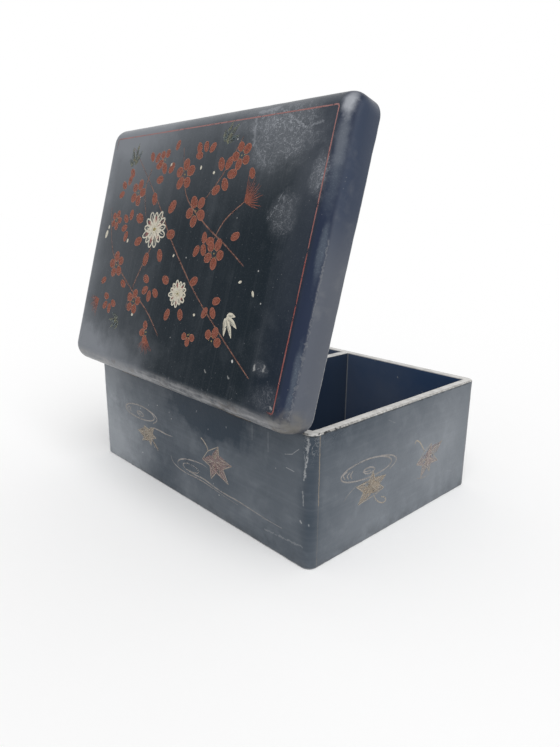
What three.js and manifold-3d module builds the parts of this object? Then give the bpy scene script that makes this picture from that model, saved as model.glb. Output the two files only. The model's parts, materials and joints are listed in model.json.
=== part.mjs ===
// A lacquered wooden box with a hinged lid and one divider, its lid standing open.
// Millimetres. +X runs along the length, +Z is up, and the hinged long side faces -Y.
// The origin is the centre of the underside of the box.

import * as THREE from 'three';
import { mergeVertices } from 'three/addons/utils/BufferGeometryUtils.js';
import Module from 'manifold-3d';

// The box: outer size, boards and rounding
const boxLength = 264;
const boxDepth = 189.6;
const boxHeight = 91.4;
const wallThickness = 6.9;
const boxCornerRadius = 6.5;
const boardEdgeRadius = 1;
const bottomThickness = 7;
const bottomRebate = 3.5;
const dividerThickness = 6.9;
const dividerGroove = 2.5;

// The lid: a board on four rails, with a broad rounded edge
const lidOverhang = 3.2;
const lidDepth = 20.8;
const lidTopThickness = 7;
const lidRailThickness = 10.3;
const lidCornerRadius = 13;
const lidEdgeRadius = 10.5;

// The lid as it stands open, from closed
const lidOpenAngle = 74.1;

// The bamboo pegs in the corner joints
const pegRadius = 1.2;
const pegLength = 14;
const pegCover = 3.7;
const pegInset = 2.3;
const wallPegCount = 3;
const railPegCount = 1;

// The brass hinges: the pin lies outside the wall and just below the rim
const hingePinOut = 4.8;
const hingePinDrop = 1.5;
const hingePinRadius = 0.9;
const hingePinEnd = 0.6;
const hingePinChamfer = 0.3;
const hingeEndDistance = 62;
const hingeLength = 24;
const hingeLeafReach = 5.6;
const hingeLeafThickness = 1.3;
const knuckleRadius = 1.9;
const knuckleCount = 3;

// The screws that hold the hinge leaves
const screwHeadRadius = 1.6;
const screwHeadDepth = 0.9;
const screwHeadRim = 0.2;
const screwSetback = 2.9;
const screwShankRadius = 0.8;
const screwLength = 7.5;
const screwPointLength = 1.4;
const screwEndDistance = 4.6;
const screwCount = 2;

// Clearances
const jointGap = 0.3;
const seatGap = 0.3;
const leafGap = 0.2;
const pinClearance = 0.2;

// Facets
const cornerSegments = 6;
const lidEdgeSegments = 8;
const boardEdgeSegments = 2;
const pegFacets = 12;
const hingeFacets = 24;
const screwFacets = 16;

// Values that follow from the sizes above
const halfLength = boxLength / 2;
const halfDepth = boxDepth / 2;
const innerHalfLength = halfLength - wallThickness;
const innerHalfDepth = halfDepth - wallThickness;
const lidHalfLength = halfLength + lidOverhang;
const lidHalfDepth = halfDepth + lidOverhang;
const railInnerX = lidHalfLength - lidRailThickness;
const railInnerY = lidHalfDepth - lidRailThickness;
const lidFoot = boxHeight + seatGap;
const lidTop = lidFoot + lidDepth;
const lidCeiling = lidTop - lidTopThickness;
const railTop = lidCeiling - jointGap;
const pinY = -halfDepth - hingePinOut;
const pinZ = boxHeight - hingePinDrop;
const screwY = -halfDepth + screwSetback;
const hingeCentres = { left: -halfLength + hingeEndDistance, right: halfLength - hingeEndDistance };

const wasm = await Module();
wasm.setup();

// Solids from geometry, and back

function solidOf(geometry) {
  geometry.deleteAttribute('normal');
  geometry.deleteAttribute('uv');
  const merged = mergeVertices(geometry);
  const mesh = new wasm.Mesh({
    numProp: 3,
    vertProperties: new Float32Array(merged.attributes.position.array),
    triVerts: new Uint32Array(merged.index.array),
  });
  return new wasm.Manifold(mesh);
}

function geometryOf(solid) {
  const mesh = solid.getMesh();
  const geometry = new THREE.BufferGeometry();
  geometry.setAttribute('position', new THREE.BufferAttribute(new Float32Array(mesh.vertProperties), 3));
  geometry.setIndex(new THREE.BufferAttribute(new Uint32Array(mesh.triVerts), 1));
  geometry.computeVertexNormals();
  return geometry;
}

function joined(solids) {
  return solids.reduce((whole, solid) => whole.add(solid));
}

function cutBy(solid, tools) {
  return tools.reduce((rest, tool) => rest.subtract(tool), solid);
}

// A board between two corners
function board(low, high) {
  const geometry = new THREE.BoxGeometry(high[0] - low[0], high[1] - low[1], high[2] - low[2]);
  geometry.translate((low[0] + high[0]) / 2, (low[1] + high[1]) / 2, (low[2] + high[2]) / 2);
  return solidOf(geometry);
}

// A rod along X or Y, centred on a point
function rod(radius, length, facets, along, centre) {
  const geometry = new THREE.CylinderGeometry(radius, radius, length, facets);
  if (along === 'x') {
    geometry.rotateZ(-Math.PI / 2);
  }
  geometry.translate(...centre);
  return solidOf(geometry);
}

// A block with rounded upright corners, and all its other outer edges rounded by edgeRadius
function roundedBlock(halfX, halfY, low, high, cornerRadius, edgeRadius, edgeSegments) {
  const outline = new THREE.Shape();
  const x = halfX - cornerRadius;
  const y = halfY - cornerRadius;
  const quarter = Math.PI / 2;
  outline.absarc(x, y, cornerRadius, 0, quarter);
  outline.absarc(-x, y, cornerRadius, quarter, 2 * quarter);
  outline.absarc(-x, -y, cornerRadius, 2 * quarter, 3 * quarter);
  outline.absarc(x, -y, cornerRadius, 3 * quarter, 4 * quarter);
  const geometry = new THREE.ExtrudeGeometry(outline, {
    depth: high - low - 2 * edgeRadius,
    curveSegments: cornerSegments,
    bevelEnabled: true,
    bevelThickness: edgeRadius,
    bevelSize: edgeRadius,
    bevelOffset: -edgeRadius,
    bevelSegments: edgeSegments,
  });
  geometry.translate(0, 0, low + edgeRadius);
  return solidOf(geometry);
}

// Materials

const lacquer = { color: 0x3c4350, roughness: 0.32, metalness: 0 };
const innerLacquer = { color: 0x0c1220, roughness: 0.3, metalness: 0 };
const lidLacquer = { color: 0x20242d, roughness: 0.34, metalness: 0 };
const bamboo = { color: 0xb79a63, roughness: 0.7, metalness: 0 };
const brass = { color: 0x9a7b3f, roughness: 0.45, metalness: 1 };
const steel = { color: 0x77797c, roughness: 0.5, metalness: 1 };

const box = new THREE.Group();
const lidSwing = new THREE.Group();
const lid = new THREE.Group();

function addPiece(parent, name, solid, finish) {
  const mesh = new THREE.Mesh(geometryOf(solid), new THREE.MeshStandardMaterial(finish));
  mesh.name = name;
  parent.add(mesh);
}

// Like pieces, numbered from 1
function addRow(parent, name, solids, finish) {
  solids.forEach((solid, i) => addPiece(parent, `${name}_${i + 1}`, solid, finish));
}

// Pegs in a butt joint: they run along Y through a long board into the end of a short one

function pegHeights(low, high, count) {
  const step = (high - low) / count;
  return Array.from({ length: count }, (_, i) => low + (i + 0.5) * step);
}

function cornerPegs(x, outerY, side, heights, extra) {
  const start = outerY - pegCover;
  const centreY = side * (start - pegLength / 2);
  return heights.map((z) => rod(pegRadius + extra, pegLength + 2 * extra, pegFacets, 'y', [x, centreY, z]));
}

const wallPegHeights = pegHeights(0, boxHeight, wallPegCount);
const railPegHeights = pegHeights(lidFoot, railTop, railPegCount);
const wallPegX = innerHalfLength + pegInset;
const railPegX = railInnerX + pegInset;
const ends = { left: -1, right: 1 };
const sides = { hinge: -1, lift: 1 };

function wallPegHoles(endNames, sideNames) {
  return endNames.flatMap((end) => sideNames.flatMap((side) =>
    cornerPegs(ends[end] * wallPegX, halfDepth, sides[side], wallPegHeights, jointGap)));
}

function railPegHoles(endNames, sideNames) {
  return endNames.flatMap((end) => sideNames.flatMap((side) =>
    cornerPegs(ends[end] * railPegX, lidHalfDepth, sides[side], railPegHeights, jointGap)));
}

// Hinge parts, at the closed lid's place

function screwPositions(centreX) {
  const first = centreX - hingeLength / 2 + screwEndDistance;
  const step = (hingeLength - 2 * screwEndDistance) / (screwCount - 1);
  return Array.from({ length: screwCount }, (_, i) => first + i * step);
}

// A countersunk screw, or with extra the room for it: its head at headZ and its point below or above
function screw(x, headZ, pointsUp, extra) {
  const head = screwHeadRadius + extra;
  const shank = screwShankRadius + extra;
  const profile = [
    new THREE.Vector2(0, -screwLength - extra),
    new THREE.Vector2(shank, -screwLength + screwPointLength - extra),
    new THREE.Vector2(shank, -screwHeadDepth),
    new THREE.Vector2(head, -screwHeadRim),
    new THREE.Vector2(head, extra),
    new THREE.Vector2(0, extra),
  ];
  const geometry = new THREE.LatheGeometry(profile, screwFacets);
  geometry.rotateX(pointsUp ? -Math.PI / 2 : Math.PI / 2);
  geometry.translate(x, screwY, headZ);
  return solidOf(geometry);
}

const boxLeafTop = pinZ - leafGap / 2;
const boxLeafFoot = boxLeafTop - hingeLeafThickness;
const lidLeafFoot = pinZ + leafGap / 2;
const lidLeafTop = lidLeafFoot + hingeLeafThickness;
const plateStart = pinY + knuckleRadius + jointGap;
const plateEnd = -halfDepth + hingeLeafReach;
const knucklePitch = hingeLength / knuckleCount;

function boxScrews(centreX, extra) {
  return screwPositions(centreX).map((x) => screw(x, boxLeafTop, false, extra));
}

function lidScrews(centreX, extra) {
  return screwPositions(centreX).map((x) => screw(x, lidLeafFoot, true, extra));
}

// One leaf: a plate, and a knuckle on every second place along the pin from firstKnuckle
function hingeLeaf(centreX, foot, top, firstKnuckle, screws) {
  const left = centreX - hingeLength / 2;
  const parts = [board([left, plateStart, foot], [left + hingeLength, plateEnd, top])];
  for (let i = firstKnuckle; i < knuckleCount; i += 2) {
    const from = left + i * knucklePitch + jointGap / 2;
    const to = left + (i + 1) * knucklePitch - jointGap / 2;
    parts.push(board([from, pinY, foot], [to, plateStart, top]));
    parts.push(rod(knuckleRadius, to - from, hingeFacets, 'x', [(from + to) / 2, pinY, pinZ]));
  }
  const bore = rod(hingePinRadius + pinClearance, 2 * hingeLength, hingeFacets, 'x', [centreX, pinY, pinZ]);
  return cutBy(joined(parts), [bore, ...screws]);
}

// The pin: a rod a little longer than the knuckles, with chamfered ends
function hingePin(centreX) {
  const half = hingeLength / 2 + hingePinEnd;
  const tip = hingePinRadius - hingePinChamfer;
  const profile = [
    new THREE.Vector2(0, -half),
    new THREE.Vector2(tip, -half),
    new THREE.Vector2(hingePinRadius, -half + hingePinChamfer),
    new THREE.Vector2(hingePinRadius, half - hingePinChamfer),
    new THREE.Vector2(tip, half),
    new THREE.Vector2(0, half),
  ];
  const geometry = new THREE.LatheGeometry(profile, hingeFacets);
  geometry.rotateZ(-Math.PI / 2);
  geometry.translate(centreX, pinY, pinZ);
  return solidOf(geometry);
}

// The pocket in the rim that takes both leaves when the lid is down
function hingePocket(centreX) {
  const reach = hingeLength / 2 + jointGap;
  return board(
    [centreX - reach, -halfDepth - jointGap, boxLeafFoot - jointGap],
    [centreX + reach, plateEnd + jointGap, boxHeight + jointGap],
  );
}

// The box: long walls run the full length, end walls butt between them

const boxBlock = roundedBlock(
  halfLength, halfDepth, 0, boxHeight, boxCornerRadius, boardEdgeRadius, boardEdgeSegments);

const bottomSeat = board(
  [-innerHalfLength - bottomRebate, -innerHalfDepth - bottomRebate, -jointGap],
  [innerHalfLength + bottomRebate, innerHalfDepth + bottomRebate, bottomThickness + jointGap],
);

function longWall(side) {
  const inner = side * innerHalfDepth;
  const outer = side * (halfDepth + jointGap);
  const slab = board(
    [-halfLength - jointGap, Math.min(inner, outer), -jointGap],
    [halfLength + jointGap, Math.max(inner, outer), boxHeight + jointGap],
  );
  const groove = board(
    [-dividerThickness / 2 - jointGap, Math.min(inner, inner + side * dividerGroove), bottomThickness],
    [dividerThickness / 2 + jointGap, Math.max(inner, inner + side * dividerGroove), boxHeight + jointGap],
  );
  const sideName = side < 0 ? 'hinge' : 'lift';
  return cutBy(boxBlock.intersect(slab), [bottomSeat, groove, ...wallPegHoles(['left', 'right'], [sideName])]);
}

function endWall(end) {
  const inner = end * innerHalfLength;
  const outer = end * (halfLength + jointGap);
  const slab = board(
    [Math.min(inner, outer), -innerHalfDepth + jointGap, -jointGap],
    [Math.max(inner, outer), innerHalfDepth - jointGap, boxHeight + jointGap],
  );
  const endName = end < 0 ? 'left' : 'right';
  return cutBy(boxBlock.intersect(slab), [bottomSeat, ...wallPegHoles([endName], ['hinge', 'lift'])]);
}

const hingePockets = Object.values(hingeCentres).map((x) => hingePocket(x));
const boxScrewHoles = Object.values(hingeCentres).flatMap((x) => boxScrews(x, jointGap));
addPiece(box, 'hinge_side_wall', cutBy(longWall(-1), [...hingePockets, ...boxScrewHoles]), lacquer);
addPiece(box, 'lift_side_wall', longWall(1), lacquer);
addPiece(box, 'left_end_wall', endWall(-1), lacquer);
addPiece(box, 'right_end_wall', endWall(1), lacquer);

// The bottom is set in a rebate of the four walls, flush with their feet
addPiece(box, 'bottom_board', board(
  [-innerHalfLength - bottomRebate + jointGap, -innerHalfDepth - bottomRebate + jointGap, 0],
  [innerHalfLength + bottomRebate - jointGap, innerHalfDepth + bottomRebate - jointGap, bottomThickness],
), innerLacquer);

// The divider stands on the bottom, with its ends housed in the long walls
const dividerHalf = innerHalfDepth + dividerGroove - jointGap;
addPiece(box, 'divider', board(
  [-dividerThickness / 2, -dividerHalf, bottomThickness],
  [dividerThickness / 2, dividerHalf, boxHeight],
), innerLacquer);

// The lid, modelled closed and then swung open about the hinge pins

const lidBlock = roundedBlock(
  lidHalfLength, lidHalfDepth, lidTop - 2 * lidDepth, lidTop, lidCornerRadius, lidEdgeRadius, lidEdgeSegments);

function lidPart(low, high) {
  return lidBlock.intersect(board(low, high));
}

function longRail(side) {
  const inner = side * railInnerY;
  const outer = side * (lidHalfDepth + jointGap);
  const rail = lidPart(
    [-lidHalfLength - jointGap, Math.min(inner, outer), lidFoot],
    [lidHalfLength + jointGap, Math.max(inner, outer), railTop],
  );
  return cutBy(rail, railPegHoles(['left', 'right'], [side < 0 ? 'hinge' : 'lift']));
}

function endRail(end) {
  const inner = end * railInnerX;
  const outer = end * (lidHalfLength + jointGap);
  const rail = lidPart(
    [Math.min(inner, outer), -railInnerY + jointGap, lidFoot],
    [Math.max(inner, outer), railInnerY - jointGap, railTop],
  );
  return cutBy(rail, railPegHoles([end < 0 ? 'left' : 'right'], ['hinge', 'lift']));
}

const lidScrewHoles = Object.values(hingeCentres).flatMap((x) => lidScrews(x, jointGap));
addPiece(lid, 'lid_top_board', lidPart(
  [-lidHalfLength - jointGap, -lidHalfDepth - jointGap, lidCeiling],
  [lidHalfLength + jointGap, lidHalfDepth + jointGap, lidTop + jointGap],
), lidLacquer);
addPiece(lid, 'lid_hinge_side_rail', cutBy(longRail(-1), lidScrewHoles), lidLacquer);
addPiece(lid, 'lid_lift_side_rail', longRail(1), lidLacquer);
addPiece(lid, 'lid_left_end_rail', endRail(-1), lidLacquer);
addPiece(lid, 'lid_right_end_rail', endRail(1), lidLacquer);

// Pegs in the four corners of the box and of the lid frame
for (const [endName, end] of Object.entries(ends)) {
  for (const [sideName, side] of Object.entries(sides)) {
    const wallPegs = cornerPegs(end * wallPegX, halfDepth, side, wallPegHeights, 0);
    const railPegs = cornerPegs(end * railPegX, lidHalfDepth, side, railPegHeights, 0);
    addRow(box, `${endName}_${sideName}_corner_peg`, wallPegs, bamboo);
    addRow(lid, `lid_${endName}_${sideName}_corner_peg`, railPegs, bamboo);
  }
}

// The two hinges: box leaf, pin and screws stay with the box, the lid leaf swings
for (const [name, x] of Object.entries(hingeCentres)) {
  const boxLeaf = hingeLeaf(x, boxLeafFoot, boxLeafTop, 0, boxScrews(x, jointGap));
  const lidLeaf = hingeLeaf(x, lidLeafFoot, lidLeafTop, 1, lidScrews(x, jointGap));
  addPiece(box, `${name}_hinge_box_leaf`, boxLeaf, brass);
  addPiece(box, `${name}_hinge_pin`, hingePin(x), brass);
  addRow(box, `${name}_hinge_box_screw`, boxScrews(x, 0), steel);
  addPiece(lid, `${name}_hinge_lid_leaf`, lidLeaf, brass);
  addRow(lid, `${name}_hinge_lid_screw`, lidScrews(x, 0), steel);
}

lid.position.set(0, -pinY, -pinZ);
lidSwing.add(lid);
lidSwing.position.set(0, pinY, pinZ);
lidSwing.rotation.x = THREE.MathUtils.degToRad(lidOpenAngle);
box.add(lidSwing);

export default box;
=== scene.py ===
# A lacquered wooden box with one divider, its lid standing open on two brass hinges.
# Metres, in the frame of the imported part: +Z is up and the hinged long side faces -Y.

import json
import math

import bmesh
import bpy
from mathutils import Matrix, Vector, noise


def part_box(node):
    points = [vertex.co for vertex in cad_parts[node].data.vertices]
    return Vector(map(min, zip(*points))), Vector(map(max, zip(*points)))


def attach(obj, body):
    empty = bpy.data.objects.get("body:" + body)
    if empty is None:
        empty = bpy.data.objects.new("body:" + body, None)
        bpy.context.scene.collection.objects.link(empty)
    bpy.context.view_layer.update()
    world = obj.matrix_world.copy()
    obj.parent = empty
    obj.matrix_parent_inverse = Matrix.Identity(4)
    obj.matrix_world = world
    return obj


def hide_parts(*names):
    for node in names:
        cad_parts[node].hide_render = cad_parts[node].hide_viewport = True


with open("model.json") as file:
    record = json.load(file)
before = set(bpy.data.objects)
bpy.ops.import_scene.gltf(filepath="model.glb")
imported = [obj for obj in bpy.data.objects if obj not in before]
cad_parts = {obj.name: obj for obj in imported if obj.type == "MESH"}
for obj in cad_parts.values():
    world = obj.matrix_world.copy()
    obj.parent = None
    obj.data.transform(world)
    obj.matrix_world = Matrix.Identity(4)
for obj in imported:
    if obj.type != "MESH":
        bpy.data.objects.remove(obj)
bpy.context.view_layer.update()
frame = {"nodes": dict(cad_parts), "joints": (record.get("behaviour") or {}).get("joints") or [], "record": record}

# The camera stands a forearm's length from the near corner, a little above the open lid's middle,
# and looks down along the diagonal of the box.
camera_data = bpy.data.cameras.new("camera")
camera_data.lens = 28.077
camera_data.sensor_width = 36
camera_data.clip_start = 0.01
camera = bpy.data.objects.new("camera", camera_data)
camera.location = (0.35075, -0.33001, 0.21734)
camera.rotation_euler = [math.radians(angle) for angle in (74.7145, -0.7163, 46.6534)]
bpy.context.scene.collection.objects.link(camera)
bpy.context.scene.camera = camera
bpy.context.scene.view_settings.view_transform = "Standard"

# The floor is a wide pale sheet, and the air behind it shows white. A broad soft lamp stands high
# at the right, and the pale room fills the shadows.
floor_reach = 40
floor_colour = (0.98, 0.98, 0.98, 1)
room_light = 0.60
lamp_power = 1.75
lamp_spread = 60

bpy.ops.object.select_all(action="DESELECT")
bpy.ops.mesh.primitive_plane_add(size=floor_reach, location=(0, 0, 0))
floor = bpy.context.object
floor.name = "floor"
floor_paint = bpy.data.materials.new("floor_paint")
floor_paint.use_nodes = True
floor_paint.node_tree.nodes["Principled BSDF"].inputs["Base Color"].default_value = floor_colour
floor_paint.node_tree.nodes["Principled BSDF"].inputs["Roughness"].default_value = 1
floor_paint.node_tree.nodes["Principled BSDF"].inputs["Specular IOR Level"].default_value = 0
floor.data.materials.append(floor_paint)

lamp_data = bpy.data.lights.new("window_lamp", "SUN")
lamp_data.energy = lamp_power
lamp_data.angle = math.radians(lamp_spread)
lamp = bpy.data.objects.new("window_lamp", lamp_data)
lamp.rotation_euler = Vector((0.60, -0.35, 0.80)).to_track_quat("Z", "Y").to_euler()
bpy.context.scene.collection.objects.link(lamp)

room = bpy.data.worlds.new("room")
room.use_nodes = True
bpy.context.scene.world = room
room_tree = room.node_tree
room_tree.nodes.clear()
room_seen = room_tree.nodes.new("ShaderNodeLightPath")
seen_or_mirrored = room_tree.nodes.new("ShaderNodeMath")
seen_or_mirrored.operation = "MAXIMUM"
room_tree.links.new(room_seen.outputs["Is Camera Ray"], seen_or_mirrored.inputs[0])
room_tree.links.new(room_seen.outputs["Is Glossy Ray"], seen_or_mirrored.inputs[1])
seen_at_all = room_tree.nodes.new("ShaderNodeMath")
seen_at_all.operation = "MAXIMUM"
room_tree.links.new(seen_or_mirrored.outputs[0], seen_at_all.inputs[0])
room_tree.links.new(room_seen.outputs["Is Transmission Ray"], seen_at_all.inputs[1])
room_strength = room_tree.nodes.new("ShaderNodeMapRange")
room_strength.inputs["To Min"].default_value = room_light
room_strength.inputs["To Max"].default_value = 1
room_tree.links.new(seen_at_all.outputs[0], room_strength.inputs["Value"])
room_air = room_tree.nodes.new("ShaderNodeBackground")
room_air.inputs["Color"].default_value = (1, 1, 1, 1)
room_tree.links.new(room_strength.outputs["Result"], room_air.inputs["Strength"])
room_out = room_tree.nodes.new("ShaderNodeOutputWorld")
room_tree.links.new(room_air.outputs[0], room_out.inputs["Surface"])

# The box block: the four walls were glued up and planed as one, so they are shaped as one block
# with rounded upright corners and softened edges, worn along the rim and the corners.
# Each wall is then cut out of it.
skin = 0.00006
corner_radius = 0.0065
edge_radius = 0.001
corner_steps = 12
edge_steps = 3
grain_step = 0.004

left_low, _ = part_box("left_end_wall")
_, right_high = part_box("right_end_wall")
hinge_wall_low, hinge_wall_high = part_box("hinge_side_wall")
lift_wall_low, lift_wall_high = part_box("lift_side_wall")
box_low = Vector((left_low.x, hinge_wall_low.y, hinge_wall_low.z))
box_high = Vector((right_high.x, lift_wall_high.y, lift_wall_high.z))
wall_thickness = hinge_wall_high.y - hinge_wall_low.y
tiny = 1e-6


def add_board(name, low, high):
    """A plain board between two corners."""
    bpy.ops.object.select_all(action="DESELECT")
    bpy.ops.mesh.primitive_cube_add(size=1, location=(Vector(low) + Vector(high)) / 2)
    made = bpy.context.object
    made.name = name
    made.data.name = name
    made.scale = Vector(high) - Vector(low)
    bpy.ops.object.transform_apply(location=True, rotation=True, scale=True)
    return made


def edit(piece, kind):
    """Opens a piece for editing with nothing selected, and gives its mesh."""
    bpy.ops.object.select_all(action="DESELECT")
    piece.select_set(True)
    bpy.context.view_layer.objects.active = piece
    bpy.ops.object.mode_set(mode="EDIT")
    bpy.ops.mesh.select_mode(type=kind)
    bpy.ops.mesh.select_all(action="DESELECT")
    return bmesh.from_edit_mesh(piece.data)


def round_edges(piece, chosen, radius, steps):
    """Rounds the edges that chosen picks, by their two end points."""
    mesh = edit(piece, "EDGE")
    for edge in mesh.edges:
        edge.select_set(chosen(edge.verts[0].co, edge.verts[1].co))
    bmesh.update_edit_mesh(piece.data)
    bpy.ops.mesh.bevel(offset=radius, segments=steps, affect="EDGES", clamp_overlap=False)
    bpy.ops.object.mode_set(mode="OBJECT")


def score(piece, axis, low, high, step):
    """Adds cross lines along an axis, so that the surface can take wear."""
    edit(piece, "FACE")
    count = max(1, round((high - low) / step))
    normal = Vector((0, 0, 0))
    normal[axis] = 1
    for i in range(1, count):
        place = Vector((0, 0, 0))
        place[axis] = low + (high - low) * i / count
        bpy.ops.mesh.select_all(action="SELECT")
        bpy.ops.mesh.bisect(plane_co=place, plane_no=normal)
    bpy.ops.object.mode_set(mode="OBJECT")


def saw(piece, place, normal):
    """Cuts off what lies past a plane, and closes the cut."""
    edit(piece, "FACE")
    bpy.ops.mesh.select_all(action="SELECT")
    bpy.ops.mesh.bisect(plane_co=place, plane_no=normal, use_fill=True, clear_outer=True)
    bpy.ops.object.mode_set(mode="OBJECT")


def copy_of(piece, name):
    """A copy with a mesh of its own."""
    made = piece.copy()
    made.data = piece.data.copy()
    made.name = name
    made.data.name = name
    bpy.context.scene.collection.objects.link(made)
    return made


def carve(piece, cutters):
    """Takes cutters out of a piece, and removes them."""
    for cutter in cutters:
        bpy.ops.object.select_all(action="DESELECT")
        piece.select_set(True)
        bpy.context.view_layer.objects.active = piece
        cut = piece.modifiers.new("cut", "BOOLEAN")
        cut.operation = "DIFFERENCE"
        cut.solver = "EXACT"
        cut.object = cutter
        bpy.ops.object.modifier_apply(modifier="cut")
        bpy.data.objects.remove(cutter)


def smooth(piece, angle):
    """Shades a piece smooth across its rounded edges."""
    bpy.ops.object.select_all(action="DESELECT")
    piece.select_set(True)
    bpy.context.view_layer.objects.active = piece
    bpy.ops.object.shade_smooth_by_angle(angle=math.radians(angle))


def same(a, b):
    return abs(a - b) < tiny


def wear_down(piece, depth):
    """Moves each point inwards by depth(point), as handling does."""
    normals = [vertex.normal.copy() for vertex in piece.data.vertices]
    for vertex, normal in zip(piece.data.vertices, normals):
        vertex.co -= normal * depth(vertex.co)


def box_corner_distance(point):
    return max(box_high.x - abs(point.x), box_high.y - abs(point.y))


def box_wear(point):
    """Ragged wear along the outer rim and down the upright corners."""
    ragged = noise.noise(point * 260) * 0.5 + noise.noise(point * 90) * 0.5 + 0.25
    outside = min(box_high.x - abs(point.x), box_high.y - abs(point.y))
    rim_share = max(0, 1 - (box_high.z - point.z) / 0.0016) * max(0, 1 - outside / 0.0014)
    corner_share = max(0, 1 - box_corner_distance(point) / 0.009)
    low_share = max(0, 1 - point.z / 0.0015)
    return max(0, ragged) * (0.0006 * rim_share + 0.0003 * corner_share + 0.0003 * low_share)


box_block = add_board("box_block", box_low + Vector((skin, skin, 0)), box_high - Vector((skin, skin, 0)))
round_edges(box_block, lambda a, b: same(a.x, b.x) and same(a.y, b.y), corner_radius, corner_steps)
round_edges(box_block, lambda a, b: same(a.z, b.z) and (same(a.z, box_low.z) or same(a.z, box_high.z)),
            edge_radius, edge_steps)
score(box_block, 0, box_low.x, box_high.x, grain_step)
score(box_block, 1, box_low.y, box_high.y, grain_step)
score(box_block, 2, box_low.z, box_high.z, grain_step)
wear_down(box_block, box_wear)

# The walls' lacquer: black, bloomed to a blue grey outside, darker and bluer inside, and rubbed
# through to the pale ground along the rim. Patches over the bloom are painted reflection and painted
# shade, the divider's faces carry painted shade, and the rim's outer edge carries wear and painted shade.
# The parts of the finish that the lid shares are groups.


def new_group(name, takes, gives):
    """A shader group with named inputs (name, kind, value) and outputs (name, kind)."""
    made = bpy.data.node_groups.new(name, "ShaderNodeTree")
    for label, kind, value in takes:
        socket = made.interface.new_socket(label, in_out="INPUT", socket_type=kind)
        if value is not None:
            socket.default_value = value
    for label, kind in gives:
        made.interface.new_socket(label, in_out="OUTPUT", socket_type=kind)
    entry = made.nodes.new("NodeGroupInput")
    leaving = made.nodes.new("NodeGroupOutput")
    return made, entry.outputs, leaving.inputs


def put(tree, kind, inputs=None, **settings):
    """Adds a node, with its inputs set or wired by name."""
    made = tree.nodes.new(kind)
    for label, value in settings.items():
        setattr(made, label, value)
    for label, value in (inputs or {}).items():
        if isinstance(value, bpy.types.NodeSocket):
            tree.links.new(value, made.inputs[label])
        else:
            made.inputs[label].default_value = value
    return made


def calc(tree, operation, *values):
    """One Math node: its result."""
    made = tree.nodes.new("ShaderNodeMath")
    made.operation = operation
    for socket, value in zip(made.inputs, values):
        if isinstance(value, bpy.types.NodeSocket):
            tree.links.new(value, socket)
        else:
            socket.default_value = value
    return made.outputs[0]


def shift(tree, operation, first, second):
    """One Vector Math node: itself."""
    return put(tree, "ShaderNodeVectorMath", {0: first, 1: second}, operation=operation)


def ease(tree, value, low, high):
    """0 at low and 1 at high, with a soft step between them. low may lie above high."""
    made = put(tree, "ShaderNodeMapRange", {"Value": value, "From Min": low, "From Max": high},
               interpolation_type="SMOOTHSTEP")
    return made.outputs["Result"]


def blend(tree, share, first, second):
    """A mix of two colours."""
    made = tree.nodes.new("ShaderNodeMix")
    made.data_type = "RGBA"
    for socket, value in zip((made.inputs["Factor"], made.inputs[6], made.inputs[7]), (share, first, second)):
        if isinstance(value, bpy.types.NodeSocket):
            tree.links.new(value, socket)
        else:
            socket.default_value = value
    return made.outputs[2]


def use(tree, group, **inputs):
    """Places a group, with its inputs set or wired by name, and gives its mask."""
    made = tree.nodes.new("ShaderNodeGroup")
    made.node_tree = group
    for label, value in inputs.items():
        if isinstance(value, bpy.types.NodeSocket):
            tree.links.new(value, made.inputs[label])
        else:
            made.inputs[label].default_value = value
    return made.outputs["Mask"]


NUMBER = "NodeSocketFloat"
VECTOR = "NodeSocketVector"
MASK = [("Mask", NUMBER)]

# Clouded tone: soft patches of any size.
clouds, took, gave = new_group(
    "clouds", [("Vector", VECTOR, None), ("Scale", NUMBER, 14), ("Low", NUMBER, 0.4), ("High", NUMBER, 0.7)], MASK)
cloud_noise = put(clouds, "ShaderNodeTexNoise", {"Vector": took["Vector"], "Scale": took["Scale"], "Detail": 5,
                                                 "Roughness": 0.6, "Distortion": 0.3})
clouds.links.new(ease(clouds, cloud_noise.outputs["Fac"], took["Low"], took["High"]), gave["Mask"])

# Brush lines: fine streaks, long where Stretch is small.
brush_lines, took, gave = new_group(
    "brush_lines", [("Vector", VECTOR, None), ("Stretch", VECTOR, (20, 900, 900)), ("Low", NUMBER, 0.45),
                    ("High", NUMBER, 0.75)], MASK)
drawn_out = shift(brush_lines, "MULTIPLY", took["Vector"], took["Stretch"])
line_noise = put(brush_lines, "ShaderNodeTexNoise", {"Vector": drawn_out.outputs[0], "Scale": 1, "Detail": 3})
brush_lines.links.new(ease(brush_lines, line_noise.outputs["Fac"], took["Low"], took["High"]), gave["Mask"])

# Dust specks: scattered dots, of which Share are kept.
specks, took, gave = new_group(
    "specks", [("Vector", VECTOR, None), ("Scale", NUMBER, 260), ("Size", NUMBER, 0.16), ("Share", NUMBER, 0.1)],
    MASK)
speck_cells = put(specks, "ShaderNodeTexVoronoi", {"Vector": took["Vector"], "Scale": took["Scale"]})
speck_pick = put(specks, "ShaderNodeSeparateColor", {"Color": speck_cells.outputs["Color"]})
speck_near = ease(specks, speck_cells.outputs["Distance"], took["Size"], calc(specks, "MULTIPLY", took["Size"], 0.4))
speck_kept = calc(specks, "LESS_THAN", speck_pick.outputs[0], took["Share"])
specks.links.new(calc(specks, "MULTIPLY", speck_near, speck_kept), gave["Mask"])

# Hairlines: a web of fine wandering scratches.
hairlines, took, gave = new_group(
    "hairlines", [("Vector", VECTOR, None), ("Scale", NUMBER, 200), ("Width", NUMBER, 0.02)], MASK)
web_noise = put(hairlines, "ShaderNodeTexNoise", {"Vector": took["Vector"], "Scale": took["Scale"], "Detail": 3,
                                                  "Roughness": 0.6, "Distortion": 0.6})
web_off = calc(hairlines, "ABSOLUTE", calc(hairlines, "SUBTRACT", web_noise.outputs["Fac"], 0.5))
hairlines.links.new(ease(hairlines, web_off, took["Width"], 0.0), gave["Mask"])

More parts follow.
